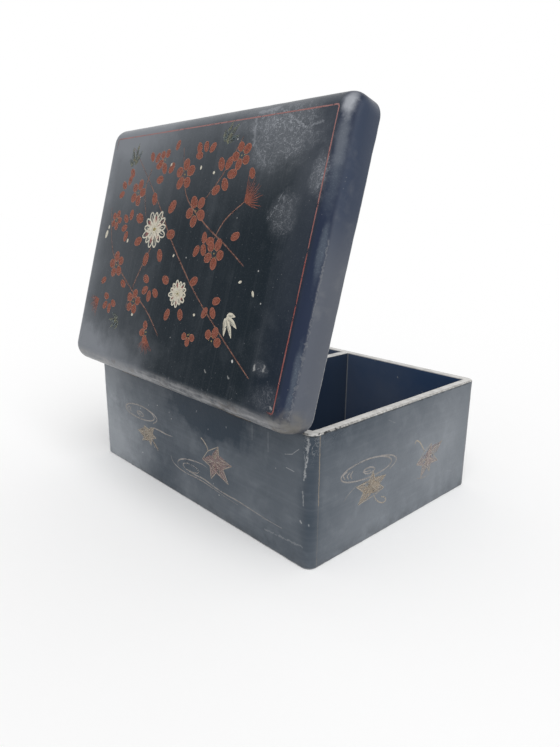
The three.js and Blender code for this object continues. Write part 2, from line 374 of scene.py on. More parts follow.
# A patch: a soft or ragged cloud of a given size round a place.
patch, took, gave = new_group(
    "patch", [("Vector", VECTOR, None), ("Centre", VECTOR, (0, 0, 0)), ("Size", VECTOR, (1, 1, 1)),
              ("Ragged", NUMBER, 0.3)], MASK)
patch_away = shift(patch, "DIVIDE", shift(patch, "SUBTRACT", took["Vector"], took["Centre"]).outputs[0], took["Size"])
patch_far = put(patch, "ShaderNodeVectorMath", {0: patch_away.outputs[0]}, operation="LENGTH")
patch_noise = put(patch, "ShaderNodeTexNoise", {"Vector": took["Vector"], "Scale": 60, "Detail": 6, "Roughness": 0.65})
patch_shift = calc(patch, "MULTIPLY", calc(patch, "SUBTRACT", patch_noise.outputs["Fac"], 0.5),
                   calc(patch, "MULTIPLY", took["Ragged"], 4))
patch.links.new(ease(patch, calc(patch, "ADD", patch_far.outputs["Value"], patch_shift), 1, 0.2), gave["Mask"])

# A mark: a scratch, crack or rubbed line between two places, with a ragged edge.
mark, took, gave = new_group(
    "mark", [("Vector", VECTOR, None), ("Start", VECTOR, (0, 0, 0)), ("End", VECTOR, (1, 0, 0)),
             ("Width", NUMBER, 0.0005), ("Ragged", NUMBER, 0.0005)], MASK)
mark_noise = put(mark, "ShaderNodeTexNoise", {"Vector": took["Vector"], "Scale": 450, "Detail": 4, "Roughness": 0.6})
mark_wander = shift(mark, "SUBTRACT", mark_noise.outputs["Color"], (0.5, 0.5, 0.5))
mark_wander = put(mark, "ShaderNodeVectorMath", {0: mark_wander.outputs[0], "Scale": calc(mark, "MULTIPLY", took["Ragged"], 4)},
                  operation="SCALE")
mark_place = shift(mark, "ADD", took["Vector"], mark_wander.outputs[0])
mark_run = shift(mark, "SUBTRACT", took["End"], took["Start"])
mark_from = shift(mark, "SUBTRACT", mark_place.outputs[0], took["Start"])
mark_share = calc(mark, "DIVIDE", shift(mark, "DOT_PRODUCT", mark_from.outputs[0], mark_run.outputs[0]).outputs["Value"],
                  shift(mark, "DOT_PRODUCT", mark_run.outputs[0], mark_run.outputs[0]).outputs["Value"])
mark_share = calc(mark, "MINIMUM", calc(mark, "MAXIMUM", mark_share, 0), 1)
mark_foot = put(mark, "ShaderNodeVectorMath", {0: mark_run.outputs[0], "Scale": mark_share}, operation="SCALE")
mark_off = put(mark, "ShaderNodeVectorMath", {0: shift(mark, "SUBTRACT", mark_from.outputs[0], mark_foot.outputs[0]).outputs[0]},
               operation="LENGTH")
mark.links.new(ease(mark, mark_off.outputs["Value"], took["Width"], calc(mark, "MULTIPLY", took["Width"], 0.35)),
               gave["Mask"])


def finish_of(name):
    """A new material: its tree, its Principled shader and the Object coordinates."""
    made = bpy.data.materials.new(name)
    made.use_nodes = True
    tree = made.node_tree
    shader = tree.nodes["Principled BSDF"]
    place = tree.nodes.new("ShaderNodeTexCoord")
    return made, tree, shader, place.outputs["Object"]


def mm(*numbers):
    return tuple(number / 1000 for number in numbers)


def distances(tree, place, half):
    """How far a point lies inside the two pairs of sides, and its axes."""
    axes = put(tree, "ShaderNodeSeparateXYZ", {"Vector": place})
    from_end = calc(tree, "SUBTRACT", half.x, calc(tree, "ABSOLUTE", axes.outputs["X"]))
    from_side = calc(tree, "SUBTRACT", half.y, calc(tree, "ABSOLUTE", axes.outputs["Y"]))
    return from_end, from_side, axes.outputs


def toned(tree, place, tone, patches):
    """Adds patches (centre mm, size mm, weight, ragged) to a tone."""
    for centre, size, weight, ragged in patches:
        cloud = use(tree, patch, Vector=place, Centre=mm(*centre), Size=mm(*size), Ragged=ragged)
        tone = calc(tree, "ADD", tone, calc(tree, "MULTIPLY", cloud, weight))
    return tone


def marked(tree, place, colour, tint, marks):
    """Draws marks (start mm, end mm, width mm, ragged mm, strength) in a tint over a colour."""
    for start, end, width, ragged, strength in marks:
        line = use(tree, mark, Vector=place, Start=mm(*start), End=mm(*end), Width=width / 1000,
                   Ragged=ragged / 1000)
        colour = blend(tree, calc(tree, "MULTIPLY", line, strength), colour, tint)
    return colour


def bumped(tree, shader, height, depth):
    """Joins a height to the shader's normal."""
    made = put(tree, "ShaderNodeBump", {"Height": height, "Distance": depth, "Strength": 1})
    tree.links.new(made.outputs["Normal"], shader.inputs["Normal"])


wall_black = (0.016, 0.029, 0.046, 1)
wall_bloom_and_reflection = (0.262, 0.283, 0.308, 1)
wall_inside = (0.036, 0.068, 0.140, 1)
wall_inside_bloom = (0.075, 0.100, 0.155, 1)
divider_painted_shade = (0.016, 0.026, 0.046, 1)
ground_pale = (0.68, 0.67, 0.65, 1)
ground_dirt = (0.12, 0.115, 0.10, 1)
ground_edge_wear_and_shade = (0.21, 0.20, 0.185, 1)
seam_tan = (0.27, 0.225, 0.17, 1)
scratch_pale = (0.30, 0.31, 0.32, 1)
crack_dark = (0.025, 0.027, 0.030, 1)

# Patches over the bloom: the paler ones are painted reflection of the pale room and floor, low on the walls, at the
# left of the hinge side and towards the far end of the right end wall; the darker ones are painted shade under the open
# lid and down the near corner.
wall_painted_light_patches = (
    ((-132, -95, 15), (98, 25, 64), 0.80, 0.12), ((-132, -95, 85), (66, 25, 45), 0.42, 0.12),
    ((30, -95, 85), (70, 25, 38), -0.50, 0.14), ((30, -95, 28), (48, 25, 26), -0.12, 0.2),
    ((50, -95, 12), (95, 25, 34), 0.12, 0.15),
    ((132, -95, 45), (14, 13, 90), -0.16, 0.10), ((132, -60, 95), (30, 55, 28), -0.08, 0.2),
    ((132, 10, 45), (14, 112, 90), 0.20, 0.05), ((132, -50, 6), (14, 60, 36), 0.14, 0.1),
    ((132, 95, 50), (30, 110, 85), 0.34, 0.08), ((132, 60, 5), (30, 100, 35), 0.10, 0.2),
    ((-132, 0, 20), (14, 110, 60), 0.34, 0.1), ((0, 95, 20), (130, 14, 60), 0.30, 0.12),
)
wall_seams = (
    ((132, -88.2, 92), (132, -87.9, 44), 0.5, 0.3, 0.7), ((132, -87.9, 46), (132, -87.9, 1), 0.35, 0.25, 0.25),
    ((-132, -87.9, 92), (-132, -87.9, 1), 0.35, 0.2, 0.4), ((132, 87.9, 92), (132, 87.9, 1), 0.3, 0.2, 0.3),
    ((-132, 87.9, 92), (-132, 87.9, 1), 0.3, 0.2, 0.4),
)
wall_scratches = (
    ((127.9, -94.5, 90), (127.2, -94.6, 74), 1.1, 1.3, 0.8), ((127.2, -94.6, 74), (125.6, -94.8, 61), 1.0, 1.3, 0.8),
    ((129.6, -93.9, 88), (127.4, -94.6, 79), 0.6, 1.0, 0.6), ((124.8, -94.8, 80), (126.6, -94.7, 69), 0.5, 0.9, 0.5),
    ((128.6, -94.3, 84), (130.6, -93, 76), 0.5, 0.8, 0.45),
    ((124.9, -94.8, 53), (125.6, -94.8, 44), 0.7, 0.6, 0.55), ((123.3, -94.8, 32.5), (124.3, -94.8, 31.8), 0.9, 0.3, 0.8),
    ((129.5, -93.8, 32), (129.7, -93.7, 31), 0.8, 0.2, 0.8), ((92.8, -94.8, 83), (93, -94.8, 69.4), 0.25, 0.1, 0.6),
    ((77.2, -94.8, 83.5), (77.2, -94.8, 73), 0.25, 0.1, 0.4), ((108.7, -94.8, 73), (115, -94.8, 75), 0.35, 0.2, 0.7),
    ((115, -94.8, 75), (120.8, -94.8, 80), 0.35, 0.2, 0.7), ((110, -94.8, 64.4), (117, -94.8, 64), 0.4, 0.15, 0.7),
    ((87.5, -94.8, 19.9), (107, -94.8, 20.7), 0.3, 0.15, 0.35), ((90, -94.8, 12.5), (125, -94.6, 15), 0.9, 1.2, 0.35),
    ((14, -94.8, 76), (15, -94.8, 77.5), 0.5, 0.2, 0.4), ((-22.6, -94.8, 66.6), (-22.6, -94.8, 66), 0.7, 0.1, 0.5),
    ((28.4, -94.8, 66.9), (28.4, -94.8, 66.3), 0.5, 0.1, 0.6), ((49.5, -94.8, 74.4), (49.5, -94.8, 73.8), 0.6, 0.1, 0.5),
    ((132, -20, 84), (132, -12, 80), 0.3, 0.2, 0.3), ((132, 62, 22), (132, 72, 18), 0.4, 0.4, 0.3),
    ((132, 5, 14), (132, 60, 24), 0.25, 0.2, 0.22),
)
inside_lines = (
    ((4.3, 87.9, 91), (4.3, 87.9, 8), 1.0, 0.15, 0.7), ((-4.3, 87.9, 91), (-4.3, 87.9, 8), 1.0, 0.15, 0.5),
    ((125.1, 87.9, 91), (125.1, 87.9, 8), 0.35, 0.15, 0.35), ((4.3, -87.9, 91), (4.3, -87.9, 8), 1.0, 0.15, 0.5),
    ((62, 87.9, 80), (62.5, 87.9, 79), 0.6, 0.3, 0.8), ((88, 87.9, 72), (89, 87.9, 71), 0.5, 0.3, 0.7),
)

wall_lacquer, tree, shader, place = finish_of("wall_lacquer")
from_end, from_side, axes = distances(tree, place, box_high)
depth_in = calc(tree, "MINIMUM", from_end, from_side)
below_rim = calc(tree, "SUBTRACT", box_high.z, axes["Z"])
wide_clouds = use(tree, clouds, Vector=place, Scale=11, Low=0.3, High=0.7)
tone = calc(tree, "ADD", 0.09, calc(tree, "MULTIPLY", wide_clouds, 0.20))
# The patches add painted reflection and painted shade to the bloom.
tone = toned(tree, place, tone, wall_painted_light_patches)
level_lines = use(tree, brush_lines, Vector=place, Stretch=(14, 14, 520), Low=0.4, High=0.8)
tone = calc(tree, "ADD", tone, calc(tree, "MULTIPLY", level_lines, 0.045))
smears = use(tree, clouds, Vector=place, Scale=70, Low=0.45, High=0.8)
tone = calc(tree, "ADD", tone, calc(tree, "MULTIPLY", smears, 0.14))
lacquer = blend(tree, tone, wall_black, wall_bloom_and_reflection)
foot_dirt = calc(tree, "MULTIPLY", ease(tree, axes["Z"], 0.012, 0.0), use(tree, clouds, Vector=place, Scale=130, Low=0.4, High=0.7))
lacquer = blend(tree, calc(tree, "MULTIPLY", foot_dirt, 0.35), lacquer, crack_dark)
foot_rub = calc(tree, "MULTIPLY", ease(tree, axes["Z"], 0.0016, 0.0008), use(tree, clouds, Vector=place, Scale=240, Low=0.4, High=0.6))
lacquer = blend(tree, calc(tree, "MULTIPLY", foot_rub, 0.5), lacquer, scratch_pale)
corner_web_place = use(tree, patch, Vector=place, Centre=mm(129, -93, 88), Size=mm(9, 9, 26), Ragged=0.3)
corner_web = calc(tree, "MULTIPLY", corner_web_place, use(tree, hairlines, Vector=place, Scale=230, Width=0.03))
lacquer = blend(tree, calc(tree, "MULTIPLY", corner_web, 0.5), lacquer, scratch_pale)
lacquer = marked(tree, place, lacquer, scratch_pale, wall_scratches)
lacquer = marked(tree, place, lacquer, seam_tan, wall_seams)
lacquer = blend(tree, calc(tree, "MULTIPLY", use(tree, specks, Vector=place, Scale=150, Size=0.10, Share=0.05), 0.6),
                lacquer, ground_pale)
under_rim = calc(tree, "MULTIPLY", ease(tree, below_rim, 0.0026, 0.0012),
                 use(tree, clouds, Vector=place, Scale=200, Low=0.35, High=0.6))
lacquer = blend(tree, calc(tree, "MULTIPLY", under_rim, 0.7), lacquer, crack_dark)

inside = calc(tree, "MULTIPLY", ease(tree, depth_in, wall_thickness - 0.0009, wall_thickness - 0.0005),
              ease(tree, below_rim, 0.0003, 0.0009))
inside_haze = use(tree, clouds, Vector=place, Scale=9, Low=0.35, High=0.75)
inside_colour = blend(tree, inside_haze, wall_inside, wall_inside_bloom)
inside_colour = blend(tree, calc(tree, "MULTIPLY", use(tree, specks, Vector=place, Scale=110, Size=0.09, Share=0.06), 0.5),
                      inside_colour, scratch_pale)
# The divider's faces are darkened with painted shade.
on_divider = ease(tree, calc(tree, "ABSOLUTE", axes["X"]), 0.0042, 0.0037)
inside_colour = blend(tree, calc(tree, "MULTIPLY", on_divider, 0.85), inside_colour, divider_painted_shade)
inside_colour = marked(tree, place, inside_colour, scratch_pale, inside_lines)
lacquer = blend(tree, inside, lacquer, inside_colour)

rim_mask = ease(tree, below_rim, 0.0010, 0.0006)
rim_grain = use(tree, brush_lines, Vector=place, Stretch=(160, 160, 900), Low=0.35, High=0.8)
rim_ground = blend(tree, calc(tree, "MULTIPLY", rim_grain, 0.34), ground_pale, ground_dirt)
# Towards its outer edge the rim darkens in a ragged band: wear, and painted shade on the outer rounding.
rim_edge_wear_and_shade = calc(tree, "MULTIPLY", ease(tree, depth_in, 0.0021, 0.0006),
                use(tree, clouds, Vector=place, Scale=620, Low=0.30, High=0.62))
rim_ground = blend(tree, calc(tree, "MULTIPLY", rim_edge_wear_and_shade, 0.8), rim_ground, ground_edge_wear_and_shade)
rim_chips = calc(tree, "MULTIPLY", ease(tree, depth_in, 0.0026, 0.0003),
                 use(tree, clouds, Vector=place, Scale=460, Low=0.47, High=0.60))
rim_chips = calc(tree, "MULTIPLY", rim_chips,
                 toned(tree, place, 0.16, (((132, -80, 91), (16, 28, 10), 1.0, 0.2), ((110, -95, 91), (50, 8, 10), 0.5, 0.2))))
rim_ground = blend(tree, rim_chips, rim_ground, crack_dark)
colour = blend(tree, rim_mask, lacquer, rim_ground)
tree.links.new(colour, shader.inputs["Base Color"])
roughness = calc(tree, "ADD", 0.34, calc(tree, "MULTIPLY", smears, 0.14))
roughness = calc(tree, "ADD", roughness, calc(tree, "MULTIPLY", rim_mask, 0.4))
tree.links.new(roughness, shader.inputs["Roughness"])
shader.inputs["Specular IOR Level"].default_value = 0.16
bumped(tree, shader, calc(tree, "ADD", calc(tree, "MULTIPLY", smears, 0.5), calc(tree, "ADD", corner_web, rim_chips)), 0.00012)

# The four walls: hardwood boards, the long ones running through and the short ones butted between
# them, pegged and glued. Each is sawn from the worn block, rebated for the bottom and grooved for
# the divider, and the hinge-side wall has a pocket in its rim for each hinge.
rim_inner_radius = 0.0006
seat_slack = 0.0003
divider_low, divider_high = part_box("divider")
bottom_low, bottom_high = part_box("bottom_board")
inner = Vector((box_high.x - wall_thickness, box_high.y - wall_thickness, 0))
hinge_names = ("left", "right")


def bottom_seat():
    """Room for the bottom board."""
    return add_board("bottom_seat", bottom_low - Vector((seat_slack, seat_slack, 0.002)),
                     bottom_high + Vector((seat_slack, seat_slack, seat_slack)))


def divider_seat():
    """Room for the divider's two ends."""
    return add_board("divider_seat", divider_low - Vector((seat_slack, seat_slack, 0)),
                     divider_high + Vector((seat_slack, seat_slack, 0.002)))


def hinge_seat(name):
    """The pocket in the rim under one hinge, open to the outside and above."""
    leaf_low, leaf_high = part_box(name + "_hinge_box_leaf")
    foot = frame["joints"][0]["pos_m"][2] - 0.0017
    return add_board("hinge_seat", (leaf_low.x - seat_slack, box_low.y - 0.002, foot),
                     (leaf_high.x + seat_slack, leaf_high.y + seat_slack, box_high.z + 0.002))


def on_inner_edge(point):
    """Whether a point lies on the inner faces of the four walls."""
    return (same(abs(point.x), inner.x) and abs(point.y) <= inner.y + tiny
            or same(abs(point.y), inner.y) and abs(point.x) <= inner.x + tiny)


def finish_wall(wall, node, cutters):
    """Softens the inner rim edge, carves the seats, and sets the wall in its node's place."""
    round_edges(wall, lambda a, b: same(a.z, box_high.z) and same(b.z, box_high.z)
                and on_inner_edge(a) and on_inner_edge(b), rim_inner_radius, 2)
    carve(wall, cutters)
    smooth(wall, 32)
    wall.data.materials.append(wall_lacquer)
    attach(wall, "box")
    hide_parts(node)


for side, name in ((-1, "hinge_side_wall"), (1, "lift_side_wall")):
    wall = copy_of(box_block, name + "_board")
    saw(wall, (0, side * inner.y, 0), (0, -side, 0))
    seats = [bottom_seat(), divider_seat()]
    if side < 0:
        seats += [hinge_seat(hinge) for hinge in hinge_names]
    finish_wall(wall, name, seats)

for side, name in ((-1, "left_end_wall"), (1, "right_end_wall")):
    wall = copy_of(box_block, name + "_board")
    saw(wall, (side * inner.x, 0, 0), (-side, 0, 0))
    saw(wall, (0, inner.y, 0), (0, 1, 0))
    saw(wall, (0, -inner.y, 0), (0, -1, 0))
    finish_wall(wall, name, [bottom_seat()])

bpy.data.objects.remove(box_block)

# The divider: one board housed in the long walls, its top level with the rim and rubbed pale.
divider_board = add_board("divider_board", divider_low, divider_high)
round_edges(divider_board, lambda a, b: same(a.z, divider_high.z) and same(b.z, divider_high.z)
            and same(a.x, b.x), 0.0008, 3)
smooth(divider_board, 32)
divider_board.data.materials.append(wall_lacquer)
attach(divider_board, "box")
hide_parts("divider")

# The bottom: one board in the walls' rebate, lacquered like the inside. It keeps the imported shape.
inner_lacquer, tree, shader, place = finish_of("inner_lacquer")
bottom_bloom = use(tree, clouds, Vector=place, Scale=12, Low=0.35, High=0.75)
bottom_colour = blend(tree, bottom_bloom, wall_inside, wall_inside_bloom)
bottom_dust = use(tree, specks, Vector=place, Scale=140, Size=0.1, Share=0.08)
tree.links.new(blend(tree, calc(tree, "MULTIPLY", bottom_dust, 0.5), bottom_colour, scratch_pale),
               shader.inputs["Base Color"])
shader.inputs["Roughness"].default_value = 0.42
shader.inputs["Specular IOR Level"].default_value = 0.3
bottom_board = frame["nodes"]["bottom_board"]
bottom_board.data.materials.clear()
bottom_board.data.materials.append(inner_lacquer)

# The lid block: a board on four rails, glued up and planed to one broad rounded form. It is shaped
# closed, worn along its edges, cut into its five boards, and each board is swung open.
lid_corner_radius = 0.013
lid_edge_radius = 0.0105
lid_corner_steps = 20
lid_edge_steps = 20
lid_step = 0.004

hinge = frame["joints"][0]
pin = Vector(hinge["pos_m"])
open_angle = math.radians(-hinge["range_deg"][0])
swing = Matrix.Translation(pin) @ Matrix.Rotation(open_angle, 4, "X") @ Matrix.Translation(-pin)


def closed_box(name):
    """The lowest and highest corner of a lid node, with the lid shut."""
    shut = swing.inverted()
    points = [shut @ vertex.co for vertex in frame["nodes"][name].data.vertices]
    low = Vector([min(point[i] for point in points) for i in range(3)])
    high = Vector([max(point[i] for point in points) for i in range(3)])
    return low, high


top_low, top_high = closed_box("lid_top_board")
rail_low, rail_high = closed_box("lid_lift_side_rail")
end_rail_low, end_rail_high = closed_box("lid_right_end_rail")
lid_high = Vector((end_rail_high.x, rail_high.y, top_high.z))
lid_foot = rail_low.z
lid_ceiling = top_low.z
lid_inner = Vector((end_rail_low.x, rail_low.y, 0))


def lid_wear(point):
    """Ragged wear over the rounded edge, deepest along the hinge side, and along the foot."""
    ragged = noise.noise(point * 160) * 0.6 + noise.noise(point * 50) * 0.4 + 0.3
    from_border = min(lid_high.x - abs(point.x), lid_high.y - abs(point.y))
    below_top = lid_high.z - point.z
    on_round = max(0, 1 - abs(from_border - below_top) / 0.010) if below_top < lid_edge_radius else 0
    hinge_side = max(0, 1 - (point.y + lid_high.y) / 0.012)
    foot_share = max(0, 1 - (point.z - lid_foot) / 0.0015)
    return max(0, ragged) * (0.00022 * on_round * (1 + hinge_side) + 0.0004 * foot_share)


lid_block = add_board("lid_block", (skin - lid_high.x, skin - lid_high.y, lid_foot),
                      lid_high - Vector((skin, skin, skin)))
lid_face = lid_high.z - skin
round_edges(lid_block, lambda a, b: same(a.x, b.x) and same(a.y, b.y), lid_corner_radius, lid_corner_steps)
round_edges(lid_block, lambda a, b: same(a.z, lid_face) and same(b.z, lid_face), lid_edge_radius, lid_edge_steps)
round_edges(lid_block, lambda a, b: same(a.z, lid_foot) and same(b.z, lid_foot), 0.0005, 2)
score(lid_block, 0, -lid_high.x, lid_high.x, lid_step)
score(lid_block, 1, -lid_high.y, lid_high.y, lid_step)
wear_down(lid_block, lid_wear)

# The lid's lacquer: black with a green-blue cast, hazed grey at the left and along the edges,
# scuffed and speckled at the right, and rubbed along its rounded edge. A painted highlight lies
# at its top right corner and down the right rounded edge.
lid_black = (0.0045, 0.0105, 0.0165, 1)
lid_haze = (0.165, 0.178, 0.198, 1)
lid_navy = (0.018, 0.026, 0.052, 1)
lid_end = (0.042, 0.055, 0.086, 1)
lid_scuff = (0.200, 0.205, 0.215, 1)
bluish_dust_and_highlight = (0.125, 0.150, 0.180, 1)
# A pale grey for scuffs and scratches, also used for the painted highlight at the corners.
pale_scuff_and_highlight = (0.310, 0.325, 0.355, 1)
lid_earth = (0.150, 0.145, 0.135, 1)
lid_worn = (0.52, 0.52, 0.51, 1)
edge_grey = (0.250, 0.252, 0.258, 1)
lid_brown = (0.100, 0.080, 0.062, 1)

lid_patches = (
    ((-126, -88, 112), (60, 42, 20), 0.60, 0.14), ((-70, -98, 112), (84, 42, 20), 0.56, 0.16),
    ((-135, 0, 112), (30, 130, 20), 0.40, 0.12),
    ((-95, 94, 112), (70, 32, 20), 0.30, 0.15), ((10, 97, 112), (110, 32, 20), 0.22, 0.18),
    ((70, 70, 112), (50, 40, 20), 0.10, 0.25), ((112, 30, 112), (18, 90, 20), 0.10, 0.2),
)
lid_scuffs = (
    ((82, 74, 112), (40, 26, 8), 0.85, 0.3), ((119, 51, 112), (11, 20, 10), 0.8, 0.4),
    ((96, 27, 112), (14, 20, 8), 0.55, 0.4), ((58, 84, 112), (30, 14, 8), 0.5, 0.4),
    ((104, -64, 112), (9, 7, 6), 0.4, 0.4), ((112, -80, 112), (16, 10, 9), 0.3, 0.4),
)
lid_streaks = (
    ((53, 86, 112.5), (56, 70, 112.5), 1.6, 1.8, 0.30), ((56, 70, 112.5), (70, 57, 112.5), 1.2, 1.8, 0.18),
    ((74, 91, 112.5), (88, 83, 112.5), 1.2, 1.6, 0.45), ((88, 83, 112.5), (100, 76.5, 112.5), 1.0, 1.4, 0.5),
    ((100, 76.5, 112.5), (112, 79, 112.5), 1.1, 1.6, 0.3), ((98, 66, 112.5), (88, 60, 112.5), 0.7, 1.2, 0.35),
    ((55, 90, 112.5), (72, 92, 111.5), 2.0, 1.8, 0.4), ((91, 38.5, 112.5), (88.5, 30, 112.5), 0.9, 2.2, 0.40),
    ((88.5, 30, 112.5), (83.3, 24, 112.5), 0.8, 2.4, 0.40), ((94, 37, 112.5), (101, 30, 112.5), 0.6, 2.4, 0.22),
    ((98, 15, 112.5), (105, 18, 112.5), 0.8, 2.6, 0.25),
    ((122.6, 60, 112.3), (116.8, 49, 112.5), 0.7, 1.9, 0.45), ((117.6, 41.4, 112.5), (124.4, 53, 112.3), 0.7, 1.9, 0.35),
)
# Bluish pale patches down the right rounded edge: dust, and a painted highlight along its upper part.
edge_dust_and_highlight_patches = (
    ((130.2, 8, 110.6), (3.2, 30, 4), 0.9, 0.35), ((130.7, -66, 110.4), (2.8, 30, 4), 0.9, 0.35),
    ((128.4, 58, 111), (7, 44, 7), 0.75, 0.3),
)
lid_marks = (
    ((78, -64.5, 112.5), (78.3, -65, 112.5), 1.0, 0.1, 1.0), ((53, -75, 112.5), (54.5, -76.5, 112.5), 0.8, 0.5, 0.35),
    ((77, -74.5, 112.5), (78.4, -75.5, 112.5), 0.9, 0.6, 0.35), ((98.5, -63.5, 112.5), (99, -66, 112.5), 1.2, 0.8, 0.45),
    ((107, -62, 112.5), (107.2, -65, 112.5), 1.1, 0.8, 0.3), ((118, -83.5, 112.5), (120, -85, 112.5), 0.9, 0.8, 0.35),
)
lid_rubbed = (
    ((132.5, 14, 108.9), (132.5, -30, 108.9), 0.7, 0.9, 0.40), ((132.5, -30, 108.9), (132, -90, 109.3), 0.7, 1.2, 0.35),
)

lid_lacquer, tree, shader, place = finish_of("lid_lacquer")
turn_back = swing.inverted()
shut = put(tree, "ShaderNodeMapping", {"Vector": place, "Location": turn_back.to_translation(),
                                       "Rotation": turn_back.to_euler()}).outputs["Vector"]
from_end, from_side, axes = distances(tree, shut, lid_high)
border_away = calc(tree, "MINIMUM", from_end, from_side)
tone = calc(tree, "MULTIPLY", use(tree, clouds, Vector=shut, Scale=17, Low=0.52, High=0.78), 0.16)
tone = toned(tree, shut, tone, lid_patches)
left_haze = ease(tree, axes["X"], 0.000, -0.110)
top_haze = calc(tree, "MULTIPLY", ease(tree, axes["Y"], 0.008, 0.085),
                calc(tree, "ADD", 0.22, calc(tree, "MULTIPLY", ease(tree, axes["X"], 0.030, -0.090), 0.30)))
tone = calc(tree, "ADD", tone, calc(tree, "ADD", top_haze, calc(tree, "MULTIPLY", left_haze, 0.26)))
long_lines = use(tree, brush_lines, Vector=shut, Stretch=(700, 14, 14), Low=0.5, High=0.85)
tone = calc(tree, "ADD", tone, calc(tree, "MULTIPLY", long_lines, 0.07))
wide_bands = use(tree, brush_lines, Vector=shut, Stretch=(85, 6, 6), Low=0.45, High=0.8)
tone = calc(tree, "ADD", tone, calc(tree, "MULTIPLY", wide_bands, 0.06))
smears = use(tree, clouds, Vector=shut, Scale=60, Low=0.5, High=0.8)
tone = calc(tree, "ADD", tone, calc(tree, "MULTIPLY", smears, 0.08))
fine_dust = use(tree, clouds, Vector=shut, Scale=1100, Low=0.50, High=0.75)
tone = calc(tree, "ADD", tone, calc(tree, "MULTIPLY", fine_dust, 0.10))
edge_zone = ease(tree, border_away, 0.0115, 0.006)
tone = calc(tree, "ADD", tone, calc(tree, "MULTIPLY", edge_zone, 0.22))
lacquer = blend(tree, tone, lid_black, lid_haze)
right_edge = calc(tree, "ADD", calc(tree, "MULTIPLY", ease(tree, axes["X"], 0.085, 0.122), 0.25),
                  calc(tree, "MULTIPLY", ease(tree, axes["X"], 0.1215, 0.1255), 0.70))
lacquer = blend(tree, right_edge, lacquer, lid_navy)
# Dust and painted highlight down the right rounded edge.
edge_dust_and_highlight = calc(tree, "MULTIPLY", toned(tree, shut, 0.0, edge_dust_and_highlight_patches), calc(tree, "ADD", 0.45, calc(tree, "MULTIPLY", fine_dust, 0.5)))
lacquer = blend(tree, edge_dust_and_highlight, lacquer, bluish_dust_and_highlight)
end_face = ease(tree, axes["X"], 0.1314, 0.1333)
lacquer = blend(tree, calc(tree, "MULTIPLY", end_face, 0.9), lacquer, lid_end)
end_rub = calc(tree, "ADD", calc(tree, "MULTIPLY", ease(tree, axes["Y"], 0.040, -0.010), 0.34),
               calc(tree, "MULTIPLY", smears, 0.25))
lacquer = blend(tree, calc(tree, "MULTIPLY", end_face, end_rub), lacquer, lid_scuff)

grit = use(tree, clouds, Vector=shut, Scale=950, Low=0.50, High=0.70)
scratched = use(tree, hairlines, Vector=shut, Scale=190, Width=0.022)
scuffed = toned(tree, shut, 0.0, lid_scuffs)
scuff_share = calc(tree, "ADD", calc(tree, "MULTIPLY", grit, 0.36), calc(tree, "MULTIPLY", scratched, 0.62))
lacquer = blend(tree, calc(tree, "MULTIPLY", scuffed, calc(tree, "ADD", 0.20, scuff_share)), lacquer, pale_scuff_and_highlight)
lacquer = marked(tree, shut, lacquer, pale_scuff_and_highlight, lid_streaks)

sand = calc(tree, "MULTIPLY", use(tree, specks, Vector=shut, Scale=520, Size=0.30, Share=0.30),
            ease(tree, axes["Y"], -0.0800, -0.0910))
lacquer = blend(tree, calc(tree, "MULTIPLY", sand, 0.45), lacquer, lid_scuff)
hinge_edge = calc(tree, "MULTIPLY", ease(tree, axes["Y"], -0.0880, -0.0935), ease(tree, axes["Z"], 0.096, 0.101))
edge_streaks = use(tree, clouds, Vector=shut, Scale=190, Low=0.38, High=0.62)
edge_grain = use(tree, brush_lines, Vector=shut, Stretch=(45, 420, 420), Low=0.40, High=0.68)
edge_share = calc(tree, "ADD", calc(tree, "MULTIPLY", edge_streaks, 0.40), calc(tree, "MULTIPLY", edge_grain, 0.60))
lacquer = blend(tree, calc(tree, "MULTIPLY", hinge_edge, calc(tree, "ADD", 0.16, edge_share)), lacquer, edge_grey)
edge_brown = calc(tree, "MULTIPLY", hinge_edge, use(tree, clouds, Vector=shut, Scale=55, Low=0.52, High=0.66))
lacquer = blend(tree, calc(tree, "MULTIPLY", edge_brown, 0.7), lacquer, lid_brown)
low_corner = use(tree, patch, Vector=shut, Centre=mm(133, -93, 104), Size=mm(20, 13, 18), Ragged=0.3)
low_corner = calc(tree, "MULTIPLY", low_corner, calc(tree, "ADD", 0.45, calc(tree, "MULTIPLY", edge_streaks, 0.4)))
lacquer = blend(tree, low_corner, lacquer, lid_earth)
lacquer = marked(tree, shut, lacquer, lid_scuff, lid_rubbed)
lacquer = marked(tree, shut, lacquer, lid_worn, lid_marks)
# Paler corners: a painted highlight at the top right corner and down the right rounded edge, and paler patches at the
# two left corners.
corner_highlight_and_wear = toned(tree, shut, 0.0, (((127.8, 88, 111), (6, 13, 6), 1.0, 0.40), ((128, 66, 111.5), (6, 26, 6), 0.20, 0.3),
                                      ((-133, 94, 108), (6, 8, 7), 0.5, 0.5), ((-133, -94, 106), (6, 8, 7), 0.4, 0.5)))
lacquer = blend(tree, corner_highlight_and_wear, lacquer, pale_scuff_and_highlight)
lacquer = blend(tree, calc(tree, "MULTIPLY", use(tree, specks, Vector=shut, Scale=130, Size=0.10, Share=0.06), 0.7),
                lacquer, lid_worn)
lacquer = blend(tree, calc(tree, "MULTIPLY", use(tree, specks, Vector=shut, Scale=420, Size=0.16, Share=0.12), 0.5),
                lacquer, lid_scuff)
on_foot = ease(tree, axes["Z"], lid_foot + 0.0010, lid_foot + 0.0004)
foot_grain = use(tree, brush_lines, Vector=shut, Stretch=(160, 160, 900), Low=0.35, High=0.8)
foot_edge = calc(tree, "MULTIPLY", ease(tree, border_away, 0.0022, 0.0004),
                 use(tree, clouds, Vector=shut, Scale=420, Low=0.35, High=0.6))
foot_rub = calc(tree, "ADD", calc(tree, "ADD", 0.10, calc(tree, "MULTIPLY", foot_grain, 0.16)),
                calc(tree, "MULTIPLY", foot_edge, 0.45))
